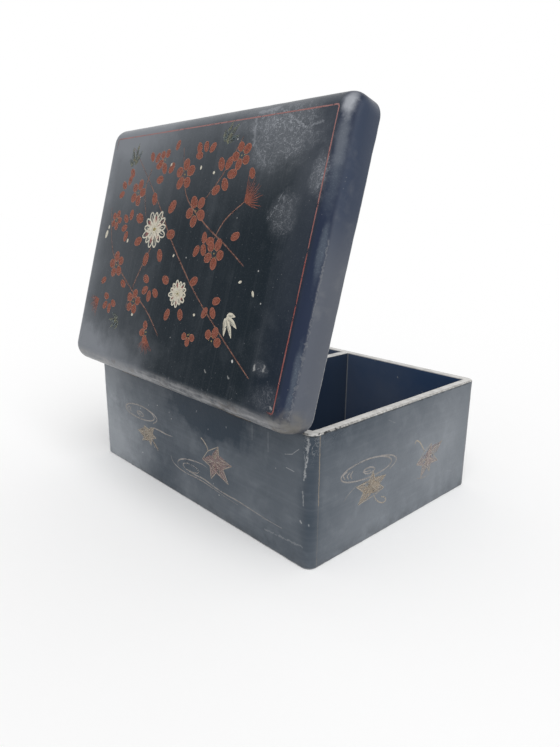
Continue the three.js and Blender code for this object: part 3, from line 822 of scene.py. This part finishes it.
lacquer = blend(tree, calc(tree, "MULTIPLY", on_foot, foot_rub), lacquer, lid_worn)
tree.links.new(lacquer, shader.inputs["Base Color"])
tree.links.new(calc(tree, "ADD", 0.30, calc(tree, "MULTIPLY", calc(tree, "ADD", scuffed, smears), 0.16)),
               shader.inputs["Roughness"])
shader.inputs["Specular IOR Level"].default_value = 0.08
bumped(tree, shader, calc(tree, "ADD", calc(tree, "MULTIPLY", smears, 0.4), calc(tree, "MULTIPLY", scuffed, grit)), 0.00010)


def finish_lid_board(board, node):
    """Swings a shut board open and sets it in its node's place."""
    board.data.transform(swing)
    smooth(board, 32)
    board.data.materials.append(lid_lacquer)
    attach(board, "lid")
    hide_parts(node)


# The top board: the lid's panel, with the whole rounded edge.
board = copy_of(lid_block, "lid_panel")
saw(board, (0, 0, lid_ceiling), (0, 0, -1))
finish_lid_board(board, "lid_top_board")

# The rails: the long ones run through and the short ones are butted between them.
for side, name in ((-1, "lid_hinge_side_rail"), (1, "lid_lift_side_rail")):
    board = copy_of(lid_block, name + "_board")
    saw(board, (0, 0, lid_ceiling), (0, 0, 1))
    saw(board, (0, side * lid_inner.y, 0), (0, -side, 0))
    finish_lid_board(board, name)

for side, name in ((-1, "lid_left_end_rail"), (1, "lid_right_end_rail")):
    board = copy_of(lid_block, name + "_board")
    saw(board, (0, 0, lid_ceiling), (0, 0, 1))
    saw(board, (side * lid_inner.x, 0, 0), (-side, 0, 0))
    saw(board, (0, lid_inner.y, 0), (0, 1, 0))
    saw(board, (0, -lid_inner.y, 0), (0, -1, 0))
    finish_lid_board(board, name)

bpy.data.objects.remove(lid_block)

# The painted border: one thin russet line round the lid's face, worn away at the left and below.
# All paint is laid on with a brush: a stroke is a thin closed strip along a curve, in millimetres
# on a sheet that is then laid on its face.
paint_thickness = 0.02
paint_swell = 0.002
layer_step = 0.010


def through(points, steps=5):
    """A smooth run of points through the given ones."""
    run = []
    for i in range(len(points) - 1):
        before = Vector(points[max(i - 1, 0)])
        first = Vector(points[i])
        second = Vector(points[i + 1])
        after = Vector(points[min(i + 2, len(points) - 1)])
        for k in range(steps):
            t = k / steps
            run.append(0.5 * (2 * first + (second - before) * t + (2 * before - 5 * first + 4 * second - after) * t * t
                              + (3 * first - before - 3 * second + after) * t ** 3))
    run.append(Vector(points[-1]))
    return run


def stroke(points, width, start=0.3, end=0.15, steps=5):
    """A brush stroke through points: full width in its middle, and thinner at its ends."""
    run = through(points, steps)
    last = len(run) - 1
    shape = []
    for i in range(last + 1):
        t = i / last
        swell = min(1, start + (1 - start) * min(1, t / 0.3), end + (1 - end) * min(1, (1 - t) / 0.4))
        shape.append((run[i].x, run[i].y, width / 2 * swell))
    return shape


def oval(x, y, length, width, turn):
    """A round-ended dab of paint."""
    way = Vector((math.cos(math.radians(turn)), math.sin(math.radians(turn))))
    shape = []
    for i in range(9):
        t = -0.98 + 1.96 * i / 8
        at = Vector((x, y)) + way * (length / 2 * t)
        shape.append((at.x, at.y, width / 2 * math.sqrt(1 - t * t)))
    return shape


def ring(x, y, length, width, turn, line, start=0, end=360, steps=20):
    """A thin line round an ellipse, or round part of one."""
    way = math.radians(turn)
    shape = []
    for i in range(steps + 1):
        a = math.radians(start + (end - start) * i / steps)
        hand = 1 + 0.10 * noise.noise(Vector((x + 0.8 * math.cos(a), y + 0.8 * math.sin(a), 0)))
        u = length / 2 * math.cos(a) * hand
        v = width / 2 * math.sin(a) * hand
        thin = line / 2 * (1 if end - start >= 360 else max(0.25, math.sin(math.pi * i / steps)) ** 0.5)
        shape.append((x + u * math.cos(way) - v * math.sin(way), y + u * math.sin(way) + v * math.cos(way), thin))
    return shape


def paint_finish(name, colour, second_colour, cover, wear_low, wear_high, wear_scale=330):
    """Old paint of two tones, worn away in spots."""
    made, tree, shader, place = finish_of(name)
    mottle = use(tree, clouds, Vector=place, Scale=240, Low=0.35, High=0.7)
    tree.links.new(blend(tree, mottle, colour, second_colour), shader.inputs["Base Color"])
    kept = use(tree, clouds, Vector=place, Scale=wear_scale, Low=wear_low, High=wear_high)
    kept = calc(tree, "MULTIPLY", kept, calc(tree, "ADD", 0.6, calc(tree, "MULTIPLY", mottle, 0.4)))
    tree.links.new(calc(tree, "MINIMUM", calc(tree, "MULTIPLY", kept, cover), 1), shader.inputs["Alpha"])
    shader.inputs["Roughness"].default_value = 0.5
    shader.inputs["Specular IOR Level"].default_value = 0.2
    return made


def lay_on(name, strokes, level, lay, finish, body):
    """Makes strokes (points with half widths, mm) into thin strips and lays them on their face."""
    line = bpy.data.curves.new(name, "CURVE")
    line.dimensions = "3D"
    line.bevel_depth = 1
    line.bevel_resolution = 1
    line.use_fill_caps = True
    for shape in strokes:
        spline = line.splines.new("POLY")
        spline.points.add(len(shape) - 1)
        for point, (x, y, half) in zip(spline.points, shape):
            point.co = (x, y, 0, 1)
            point.radius = max(half, 0.04)
    strip = bpy.data.objects.new(name, line)
    bpy.context.scene.collection.objects.link(strip)
    bpy.ops.object.select_all(action="DESELECT")
    strip.select_set(True)
    bpy.context.view_layer.objects.active = strip
    bpy.ops.object.convert(target="MESH")
    edit(strip, "VERT")
    bpy.ops.mesh.select_all(action="SELECT")
    bpy.ops.mesh.remove_doubles(threshold=0.0001)
    bpy.ops.object.mode_set(mode="OBJECT")
    bpy.ops.object.shade_flat()
    for vertex in strip.data.vertices:
        flattened = max(-paint_thickness, min(paint_thickness, vertex.co.z))
        vertex.co.z = flattened + vertex.co.z * paint_swell + level * layer_step
    strip.data.transform(lay @ Matrix.Scale(0.001, 4))
    strip.data.name = name
    strip.data.materials.append(finish)
    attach(strip, body)
    return strip


def sheet_matrix(across, upwards, origin):
    """Where a sheet lies: its two directions and the place of its origin."""
    across, upwards = Vector(across), Vector(upwards)
    outwards = across.cross(upwards)
    made = Matrix((across, upwards, outwards)).transposed().to_4x4()
    made.translation = Vector(origin)
    return made


lid_sheet = swing @ sheet_matrix((1, 0, 0), (0, 1, 0), (0, 0, lid_face))
border_x = 121.6
border_y = 87.4
border_corner = 4
border_width = 1.0

border = []
corners = ((border_x, border_y), (border_x, -border_y), (-border_x, -border_y), (-border_x, border_y))
for i in range(4):
    x0, y0 = corners[i]
    x1, y1 = corners[(i + 1) % 4]
    along = Vector((x1 - x0, y1 - y0)).normalized()
    first = Vector((x0, y0)) + along * border_corner
    last = Vector((x1, y1)) - along * border_corner
    straight = [first.lerp(last, k / 16) for k in range(17)]
    border.append([(p.x, p.y, border_width / 2 * (0.85 + 0.3 * noise.noise(Vector((p.x, p.y, 0)) * 0.08))) for p in straight])
    turned = (Vector((x1, y1)) - along * border_corner, Vector((x1, y1)) - along * border_corner * 0.3,
              Vector((x1, y1)) + Vector((along.y, -along.x)) * border_corner * 0.3,
              Vector((x1, y1)) + Vector((along.y, -along.x)) * border_corner)
    border.append([(p.x, p.y, border_width / 2 * 0.9) for p in through(turned, 4)])

border_paint, tree, shader, place = finish_of("border_paint")
shut = put(tree, "ShaderNodeMapping", {"Vector": place, "Location": turn_back.to_translation(),
                                       "Rotation": turn_back.to_euler()}).outputs["Vector"]
mottle = use(tree, clouds, Vector=shut, Scale=150, Low=0.35, High=0.7)
height_up = put(tree, "ShaderNodeSeparateXYZ", {"Vector": shut}).outputs["Y"]
border_colour = blend(tree, mottle, (0.215, 0.050, 0.043, 1), (0.26, 0.105, 0.095, 1))
tree.links.new(blend(tree, calc(tree, "MULTIPLY", ease(tree, height_up, -0.020, 0.085), 0.6), border_colour,
                     (0.32, 0.185, 0.18, 1)), shader.inputs["Base Color"])
kept = toned(tree, shut, 0.9, (((-20, -91, 112), (150, 14, 30), -4.0, 0.1), ((72, -91, 112), (54, 14, 30), -4.0, 0.1),
                               ((-124, -10, 112), (24, 115, 30), -4.0, 0.1)))
kept = calc(tree, "MULTIPLY", kept, use(tree, clouds, Vector=shut, Scale=260, Low=0.30, High=0.45))
tree.links.new(calc(tree, "MAXIMUM", kept, 0), shader.inputs["Alpha"])
shader.inputs["Roughness"].default_value = 0.5
shader.inputs["Specular IOR Level"].default_value = 0.2
lay_on("lid_border_line", border, 0, lid_sheet, border_paint, "lid")

# The lid's painting: a generic spray of white chrysanthemums, plum blossoms, bamboo leaves and
# pine needles in brick red, cream and a little gold green, with long thin stems.
brick = (0.270, 0.080, 0.047, 1)
brick_dark = (0.190, 0.060, 0.040, 1)
rose_line = (0.42, 0.185, 0.125, 1)
cream = (0.74, 0.71, 0.60, 1)
cream_dull = (0.55, 0.50, 0.40, 1)
gold_green = (0.20, 0.19, 0.105, 1)
slate_green = (0.105, 0.140, 0.150, 1)
pollen = (0.55, 0.43, 0.16, 1)

fills, outlines, creams, flushes, inks, greens, golds, stems = [], [], [], [], [], [], [], []


def plum(x, y, size, turn, petals=5):
    """A plum blossom: round petals with a pale line round each, and a few gold dots."""
    for i in range(petals):
        a = turn + 360 / 5 * i
        long = size * (0.70 + 0.07 * math.sin(i * 2.1 + turn))
        px = x + size * 0.60 * math.cos(math.radians(a))
        py = y + size * 0.60 * math.sin(math.radians(a))
        fills.append(oval(px, py, long, size * 0.60, a))
        outlines.append(ring(px, py, long * 0.96, size * 0.58, a, 0.5))
        golds.append(oval(x + size * 0.28 * math.cos(math.radians(a + 36)),
                          y + size * 0.28 * math.sin(math.radians(a + 36)), 0.7, 0.6, a))
    golds.append(oval(x, y, 1.2, 1.1, turn))


def leaf(x, y, length, width, turn):
    """A brick leaf with a pale line round it and a vein."""
    fills.append(oval(x, y, length, width, turn))
    outlines.append(ring(x, y, length * 0.96, width * 0.94, turn, 0.4))
    a = math.radians(turn)
    outlines.append(stroke([(x - length * 0.35 * math.cos(a), y - length * 0.35 * math.sin(a)),
                            (x + length * 0.3 * math.cos(a), y + length * 0.3 * math.sin(a))], 0.35))


def twig(x, y, size, turn, count, spread):
    """Leaves fanned round the end of a twig."""
    for i in range(count):
        a = turn - spread / 2 + spread * i / (count - 1)
        far = size * (0.95 + 0.12 * math.sin(i * 2.3 + turn))
        leaf(x + far * math.cos(math.radians(a)), y + far * math.sin(math.radians(a)), size, size * 0.66, a)


def chrysanthemum(x, y, size, turn):
    """A white chrysanthemum, seen a little from the side: two rows of outlined petals."""
    for row, count, reach, wide in ((0, 13, 1.0, 0.30), (1, 9, 0.62, 0.28)):
        for i in range(count):
            a = turn + 360 / count * (i + 0.5 * row)
            far = size * reach * (1 + 0.08 * math.sin(i * 2.4 + turn))
            mx = x + far * 0.62 * math.cos(math.radians(a))
            my = y + far * 0.62 * math.sin(math.radians(a)) * 0.88
            creams.append(ring(mx, my, far * 0.72, far * wide, a, 1.15))
            along = Vector((math.cos(math.radians(a)), math.sin(math.radians(a)))) * far
            if (i + row) % 2:
                flushes.append(oval(mx - along.x * 0.04, my - along.y * 0.04, far * 0.46, far * wide * 0.6, a))
            else:
                creams.append(stroke([(mx - along.x * 0.16, my - along.y * 0.16), (mx + along.x * 0.22, my + along.y * 0.22)], 0.6))
    golds.append(oval(x, y, size * 0.26, size * 0.20, turn))
    for i in range(7):
        a = math.radians(turn + 51 * i)
        golds.append(oval(x + size * 0.20 * math.cos(a), y + size * 0.17 * math.sin(a), 1.0, 0.8, turn + 51 * i))


def bamboo(x, y, size, turn, paint):
    """A spray of four long leaves."""
    for off, far in ((-38, 0.8), (-12, 1.0), (14, 0.9), (42, 0.62)):
        a = math.radians(turn + off)
        paint.append(stroke([(x + size * 0.12 * math.cos(a), y + size * 0.12 * math.sin(a)),
                             (x + size * far * 0.55 * math.cos(a + 0.08), y + size * far * 0.55 * math.sin(a + 0.08)),
                             (x + size * far * math.cos(a), y + size * far * math.sin(a))], size * 0.19, 0.15, 0.05))
        for aside in (-0.10, 0.06):
            inks.append(stroke([(x + size * 0.22 * math.cos(a + aside), y + size * 0.22 * math.sin(a + aside)),
                                (x + size * far * 0.82 * math.cos(a + aside / 2), y + size * far * 0.82 * math.sin(a + aside / 2))], 0.5))


def pine(x, y, size, turn, spread=110, count=15):
    """A fan of pine needles."""
    for i in range(count):
        a = math.radians(turn - spread / 2 + spread * i / (count - 1))
        far = size * (0.86 + 0.14 * math.sin(i * 1.9))
        fills.append(stroke([(x, y), (x + far * 0.5 * math.cos(a), y + far * 0.5 * math.sin(a)),
                             (x + far * math.cos(a + 0.05), y + far * math.sin(a + 0.05))], 0.62, 0.5, 0.3, 3))


chrysanthemum(-40, 14, 15, 10)
chrysanthemum(6, -30, 10, 25)
for x, y, size, turn in ((-14, 54, 12, 20), (8, 28, 12, 50), (-74, 42, 11, 0), (-86, -16, 11.5, 30), (-50, -42, 10.5, 10),
                         (38, 0, 11, 65), (46, 64, 10, 40), (-100, 20, 8.5, 70)):
    plum(x, y, size, turn)
for x, y, size, turn in ((54, -56, 10, 0), (-24, -62, 9, 120), (-44, 66, 9, 60), (28, -56, 8, 200)):
    plum(x, y, size, turn, 3)
for x, y, length, width, turn in (
        (-64, 22, 11, 7.5, 160), (-60, 4, 10, 6.8, 200), (-44, -9, 10.5, 7, 260), (-26, -5, 10, 6.5, 300),
        (-17, 11, 10.5, 7, 0), (-22, 31, 11, 7.5, 50), (-48, 37, 10, 6.5, 110), (22, -20, 9, 6, 30), (-12, -22, 9, 6, 160),
        (-2, -46, 9, 5.8, 250), (14, -44, 8.5, 5.6, 300), (26, 42, 9, 6, 30), (-2, 72, 8.5, 5.4, 110), (56, 12, 8.5, 5.4, 20),
        (-88, 58, 8.5, 5.6, 130), (-102, -30, 8, 5.2, 210), (-70, -30, 8.5, 5.4, 330), (24, 10, 8, 5.2, 100),
        (60, 52, 7.5, 5, 300), (-30, 76, 7.5, 4.8, 70)):
    leaf(x, y, length, width, turn)
for x, y, size, turn, count, spread in (
        (30, 52, 9.5, 30, 4, 170), (-38, 52, 9, 120, 3, 130), (-78, 16, 8.5, 170, 4, 170), (-30, -28, 8.5, 240, 4, 180),
        (22, 8, 8.5, -60, 3, 120), (-92, 44, 8, 140, 3, 130), (44, -32, 8, -50, 3, 130), (-58, 62, 8, 60, 3, 120),
        (-86, -44, 8, 250, 4, 170), (8, 66, 8, 110, 3, 130)):
    twig(x, y, size, turn, count, spread)
bamboo(-88, 62, 20, 95, greens)
bamboo(26, 72, 18, 60, greens)
bamboo(62, -38, 17, -40, creams)
bamboo(-66, -58, 16, 200, greens)
pine(58, 34, 17, 35)
pine(-104, -46, 15, 215, 90, 12)
pine(-22, -66, 13, 265, 100, 12)
for points in (((96, -72), (60, -50), (24, -26), (-14, 6), (-44, 36), (-92, 78)), ((70, -6), (48, 6), (20, 20), (-8, 40), (-22, 74)),
               ((-8, -62), (-30, -46), (-62, -30), (-96, -6), (-112, 30)), ((44, 76), (30, 52), (14, 34)),
               ((-40, 0), (-52, -24), (-60, -48)), ((58, 34), (42, 22), (34, 8)), ((-60, 60), (-64, 44), (-56, 24))):
    stems.append(stroke(points, 1.0, 0.7, 0.4))
for x, y, length, width, turn in ((-112, 8, 7, 3.6, 75), (-110, 14, 3.2, 2.2, 80), (-76, 4, 3.4, 2.2, 80), (4, 58, 3.0, 1.8, 80),
                                  (20, 54, 2.6, 2.0, 30), (-34, 62, 2.8, 1.8, 60), (70, -16, 3.0, 1.8, 20), (-48, -52, 2.8, 1.8, 0),
                                  (30, -42, 2.4, 1.8, 0), (84, -22, 4.2, 1.9, -60), (-8, -4, 2.4, 1.8, 45)):
    creams.append(oval(x, y, length, width, turn))

lid_paints = (
    ("lid_stems", stems, 0, paint_finish("stem_paint", (0.17, 0.075, 0.055, 1), (0.23, 0.12, 0.085, 1), 0.95, 0.22, 0.38, 110)),
    ("lid_brick_petals", fills, 1, paint_finish("brick_paint", brick, brick_dark, 0.95, 0.24, 0.34)),
    ("lid_green_leaves", greens, 1, paint_finish("leaf_paint", slate_green, gold_green, 0.80, 0.32, 0.50)),
    ("lid_rose_flushes", flushes, 1, paint_finish("flush_paint", (0.42, 0.20, 0.175, 1), (0.30, 0.11, 0.10, 1), 0.75, 0.32, 0.50)),
    ("lid_rose_outlines", outlines, 2, paint_finish("rose_paint", rose_line, brick, 0.90, 0.28, 0.44)),
    ("lid_cream_petals", creams, 2, paint_finish("cream_paint", cream, cream_dull, 0.97, 0.27, 0.40, 480)),
    ("lid_gold_dots", golds, 3, paint_finish("pollen_paint", pollen, gold_green, 0.85, 0.30, 0.42)),
    ("lid_ink_lines", inks, 3, paint_finish("ink_paint", (0.030, 0.038, 0.042, 1), (0.07, 0.065, 0.055, 1), 0.85, 0.30, 0.45)),
)
for name, strokes, level, finish in lid_paints:
    lay_on(name, strokes, level, lid_sheet, finish, "lid")

# The walls' ornament: maple leaves drifting on flowing water, once in red, gold and silver and now
# rubbed down to a faint trace.
leaf_lines, red_leaves, faded_leaves, gold_leaves, water = [], [], [], [], []


lobe_shape = ((0.0, 0.25), (0.30, 0.29), (0.52, 0.21), (0.78, 0.09), (1.0, 0.01))
notch_depth = 0.50
eddy_lines = (
    ((0.51, 0.91), (0.98, 0.53), (1.20, 0.0), (1.14, -0.50), (0.94, -0.91)),
    ((-0.79, 0.46), (-0.93, 0.19), (-0.85, -0.25)),
    ((-0.68, 0.29), (-0.78, 0.01), (-0.72, -0.35)),
    ((-0.57, 0.31), (-0.65, -0.06), (-0.59, -0.45)),
    ((-0.18, -0.16), (0.0, -0.54), (0.22, -0.49), (0.30, -0.27), (0.13, 0.06), (-0.07, 0.06), (-0.14, -0.10),
     (-0.03, -0.27), (0.12, -0.28)),
)


def maple(middle, base, tips, paint):
    """A maple leaf: pointed lobes from its middle, each with a gold outline and a vein."""
    middle, base = Vector(middle), Vector(base)
    lobes = [Vector(tip) - middle for tip in tips]
    notches = [base]
    for first, second in zip(lobes, lobes[1:]):
        between = (first.normalized() + second.normalized()).normalized()
        notches.append(middle + between * notch_depth * min(first.length, second.length))
    notches.append(base)
    for i, lobe in enumerate(lobes):
        paint.append([(middle.x + lobe.x * t, middle.y + lobe.y * t, lobe.length * wide) for t, wide in lobe_shape])
        aside = Vector((-lobe.y, lobe.x)) * 0.14
        leaf_lines.append(stroke([middle, middle + lobe * 0.85], 0.5, 0.6, 0.2))
        for vein_end in (lobe * 0.62 + aside, lobe * 0.62 - aside):
            leaf_lines.append(stroke([middle + lobe * 0.12, middle + vein_end], 0.4, 0.6, 0.2))
        leaf_lines.append(stroke([notches[i], middle + lobe], 0.65, 0.7, 0.6, 8))
        leaf_lines.append(stroke([middle + lobe, notches[i + 1]], 0.65, 0.6, 0.7, 8))


def eddy(x, y, length, width, turn):
    """An eddy in the stream: a long ring with hooks in its left end and a curl in its middle."""
    water.append(ring(x, y, length, width, turn, 1.05, 0, 360, 40))
    way = math.radians(turn)
    for points in eddy_lines:
        placed = [(x + u * length / 2 * math.cos(way) - v * width / 2 * math.sin(way),
                   y + u * length / 2 * math.sin(way) + v * width / 2 * math.cos(way)) for u, v in points]
        water.append(stroke(placed, 1.05, 0.8, 0.7))


front_sheet = sheet_matrix((1, 0, 0), (0, 0, 1), (0, box_low.y + skin, 0))
right_sheet = sheet_matrix((0, 1, 0), (0, 0, 1), (box_high.x - skin, 0, 0))
lift_sheet = sheet_matrix((-1, 0, 0), (0, 0, 1), (0, box_high.y - skin, 0))
left_sheet = sheet_matrix((0, -1, 0), (0, 0, 1), (box_low.x + skin, 0, 0))


def long_side():
    """The ornament of a long wall."""
    eddy(-69, 54.8, 46, 11.5, 2)
    maple((-55, 38.5), (-51, 42.5), ((-46, 47), (-43.5, 38.5), (-52, 29.5), (-66, 30), (-73, 37.5), (-62.5, 44.5)), gold_leaves)
    gold_leaves.append(stroke([(-52, 38), (-46, 32), (-41, 28.8)], 2.0, 0.8, 0.7))
    water.append(stroke([(-54, 45), (-42, 46.6), (-30, 46.4), (-19, 46.9)], 1.2))
    maple((35.5, 43.5), (27.5, 49.5), ((40, 56.5), (55.4, 46.5), (51.4, 31.2), (31, 28.8), (20.5, 41)), red_leaves)
    gold_leaves.append(stroke([(34, 46), (38, 51), (40, 56)], 3.2, 0.8, 0.1))
    leaf_lines.append(stroke([(28, 49), (26.5, 52.5), (22.5, 56), (19.3, 57.4)], 1.0, 0.6, 1.0))
    water.append(stroke([(-22.4, 30.3), (-20, 26), (-14, 23.4), (-5, 22.2), (6, 22.4), (20, 22.6), (34, 21.4), (48, 20.2), (62, 19.4)], 0.9))
    water.append(stroke([(-12, 24.8), (-12.5, 28), (-8, 31.4), (0, 34), (10, 35.7), (20, 36.4), (26, 35.8)], 1.1))
    water.append(ring(5, 28.3, 21, 6, 4, 0.9, 0, 360, 28))
    water.append(stroke([(-6, 27.2), (0, 25.4), (10, 24.6), (22, 25), (34, 23.3), (48, 22.4), (62, 22.4), (84, 21), (107, 20.2)], 1.2))


def end_side():
    """The ornament of an end wall."""
    eddy(-40.3, 54.4, 54, 13.6, -3)
    maple((-35.5, 39.5), (-31.5, 32), ((-20.8, 34.5), (-19.1, 43.6), (-33.8, 50.8), (-51.5, 44.6), (-48.6, 30.5)), gold_leaves)
    leaf_lines.append(stroke([(-31.5, 32), (-29, 28), (-25.3, 24.7), (-20.5, 22.6), (-17.4, 23.6), (-19.5, 26.6), (-23.5, 28)], 0.9, 0.6, 0.8))
    maple((33, 41), (28, 47.5), ((37, 51.8), (51.7, 50.2), (47.5, 35), (37, 28.7), (25.5, 27), (18.5, 39.5)), faded_leaves)
    leaf_lines.append(stroke([(28, 47.5), (25.5, 51.1), (20.8, 56.8), (16.1, 59.4), (14.6, 57.4)], 1.0, 0.5, 0.9))
    water.append(stroke([(20, 28.6), (25, 26.6), (32, 26.2), (39, 27)], 0.8))
    water.append(stroke([(-50, 46), (-58, 42.5), (-64, 38)], 0.5))


wall_paints = (
    ("water_lines", water, 0, paint_finish("water_paint", (0.38, 0.352, 0.325, 1), (0.32, 0.30, 0.29, 1), 0.85, 0.20, 0.48, 90)),
    ("red_leaves", red_leaves, 1, paint_finish("red_leaf_paint", (0.30, 0.200, 0.190, 1), (0.22, 0.175, 0.172, 1), 0.80, 0.22, 0.54, 190)),
    ("faded_leaves", faded_leaves, 1, paint_finish("faded_leaf_paint", (0.37, 0.285, 0.278, 1), (0.30, 0.265, 0.262, 1), 0.66, 0.30, 0.58, 150)),
    ("gold_leaves", gold_leaves, 2, paint_finish("gold_leaf_paint", (0.37, 0.305, 0.235, 1), (0.28, 0.250, 0.210, 1), 0.74, 0.26, 0.58, 170)),
    ("leaf_lines", leaf_lines, 3, paint_finish("leaf_line_paint", (0.50, 0.44, 0.36, 1), (0.38, 0.34, 0.29, 1), 0.80, 0.26, 0.48, 220)),
)
for side_name, draw, sheet in (("hinge_side", long_side, front_sheet), ("right_end", end_side, right_sheet),
                               ("lift_side", long_side, lift_sheet), ("left_end", end_side, left_sheet)):
    for _, strokes, _, _ in wall_paints:
        strokes.clear()
    draw()
    for name, strokes, level, finish in wall_paints:
        if strokes:
            lay_on(side_name + "_" + name, strokes, level, sheet, finish, "box")

# The bamboo pegs in the corner joints lie under the lacquer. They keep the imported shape.
bamboo_wood, tree, shader, place = finish_of("bamboo")
fibres = put(tree, "ShaderNodeTexNoise", {"Vector": place, "Scale": 900, "Detail": 3})
tree.links.new(blend(tree, fibres.outputs["Fac"], (0.42, 0.28, 0.11, 1), (0.55, 0.40, 0.19, 1)),
               shader.inputs["Base Color"])
shader.inputs["Roughness"].default_value = 0.7

# The hinges: brass leaves on a loose brass pin, gone dark brown with age, held by small steel screws.
brass, tree, shader, place = finish_of("brass")
tarnish = use(tree, clouds, Vector=place, Scale=220, Low=0.35, High=0.7)
tree.links.new(blend(tree, tarnish, (0.085, 0.062, 0.038, 1), (0.045, 0.040, 0.034, 1)), shader.inputs["Base Color"])
shader.inputs["Metallic"].default_value = 1
shader.inputs["Roughness"].default_value = 0.45

steel, tree, shader, place = finish_of("steel")
rust = use(tree, clouds, Vector=place, Scale=500, Low=0.5, High=0.7)
tree.links.new(blend(tree, rust, (0.30, 0.30, 0.31, 1), (0.12, 0.07, 0.04, 1)), shader.inputs["Base Color"])
shader.inputs["Metallic"].default_value = 1
shader.inputs["Roughness"].default_value = 0.5

finishes = {"bamboo": bamboo_wood, "brass": brass, "steel": steel}
for part in frame["record"]["subparts"]:
    if part["material_slot"] in finishes:
        node = frame["nodes"][part["node"]]
        node.data.materials.clear()
        node.data.materials.append(finishes[part["material_slot"]])
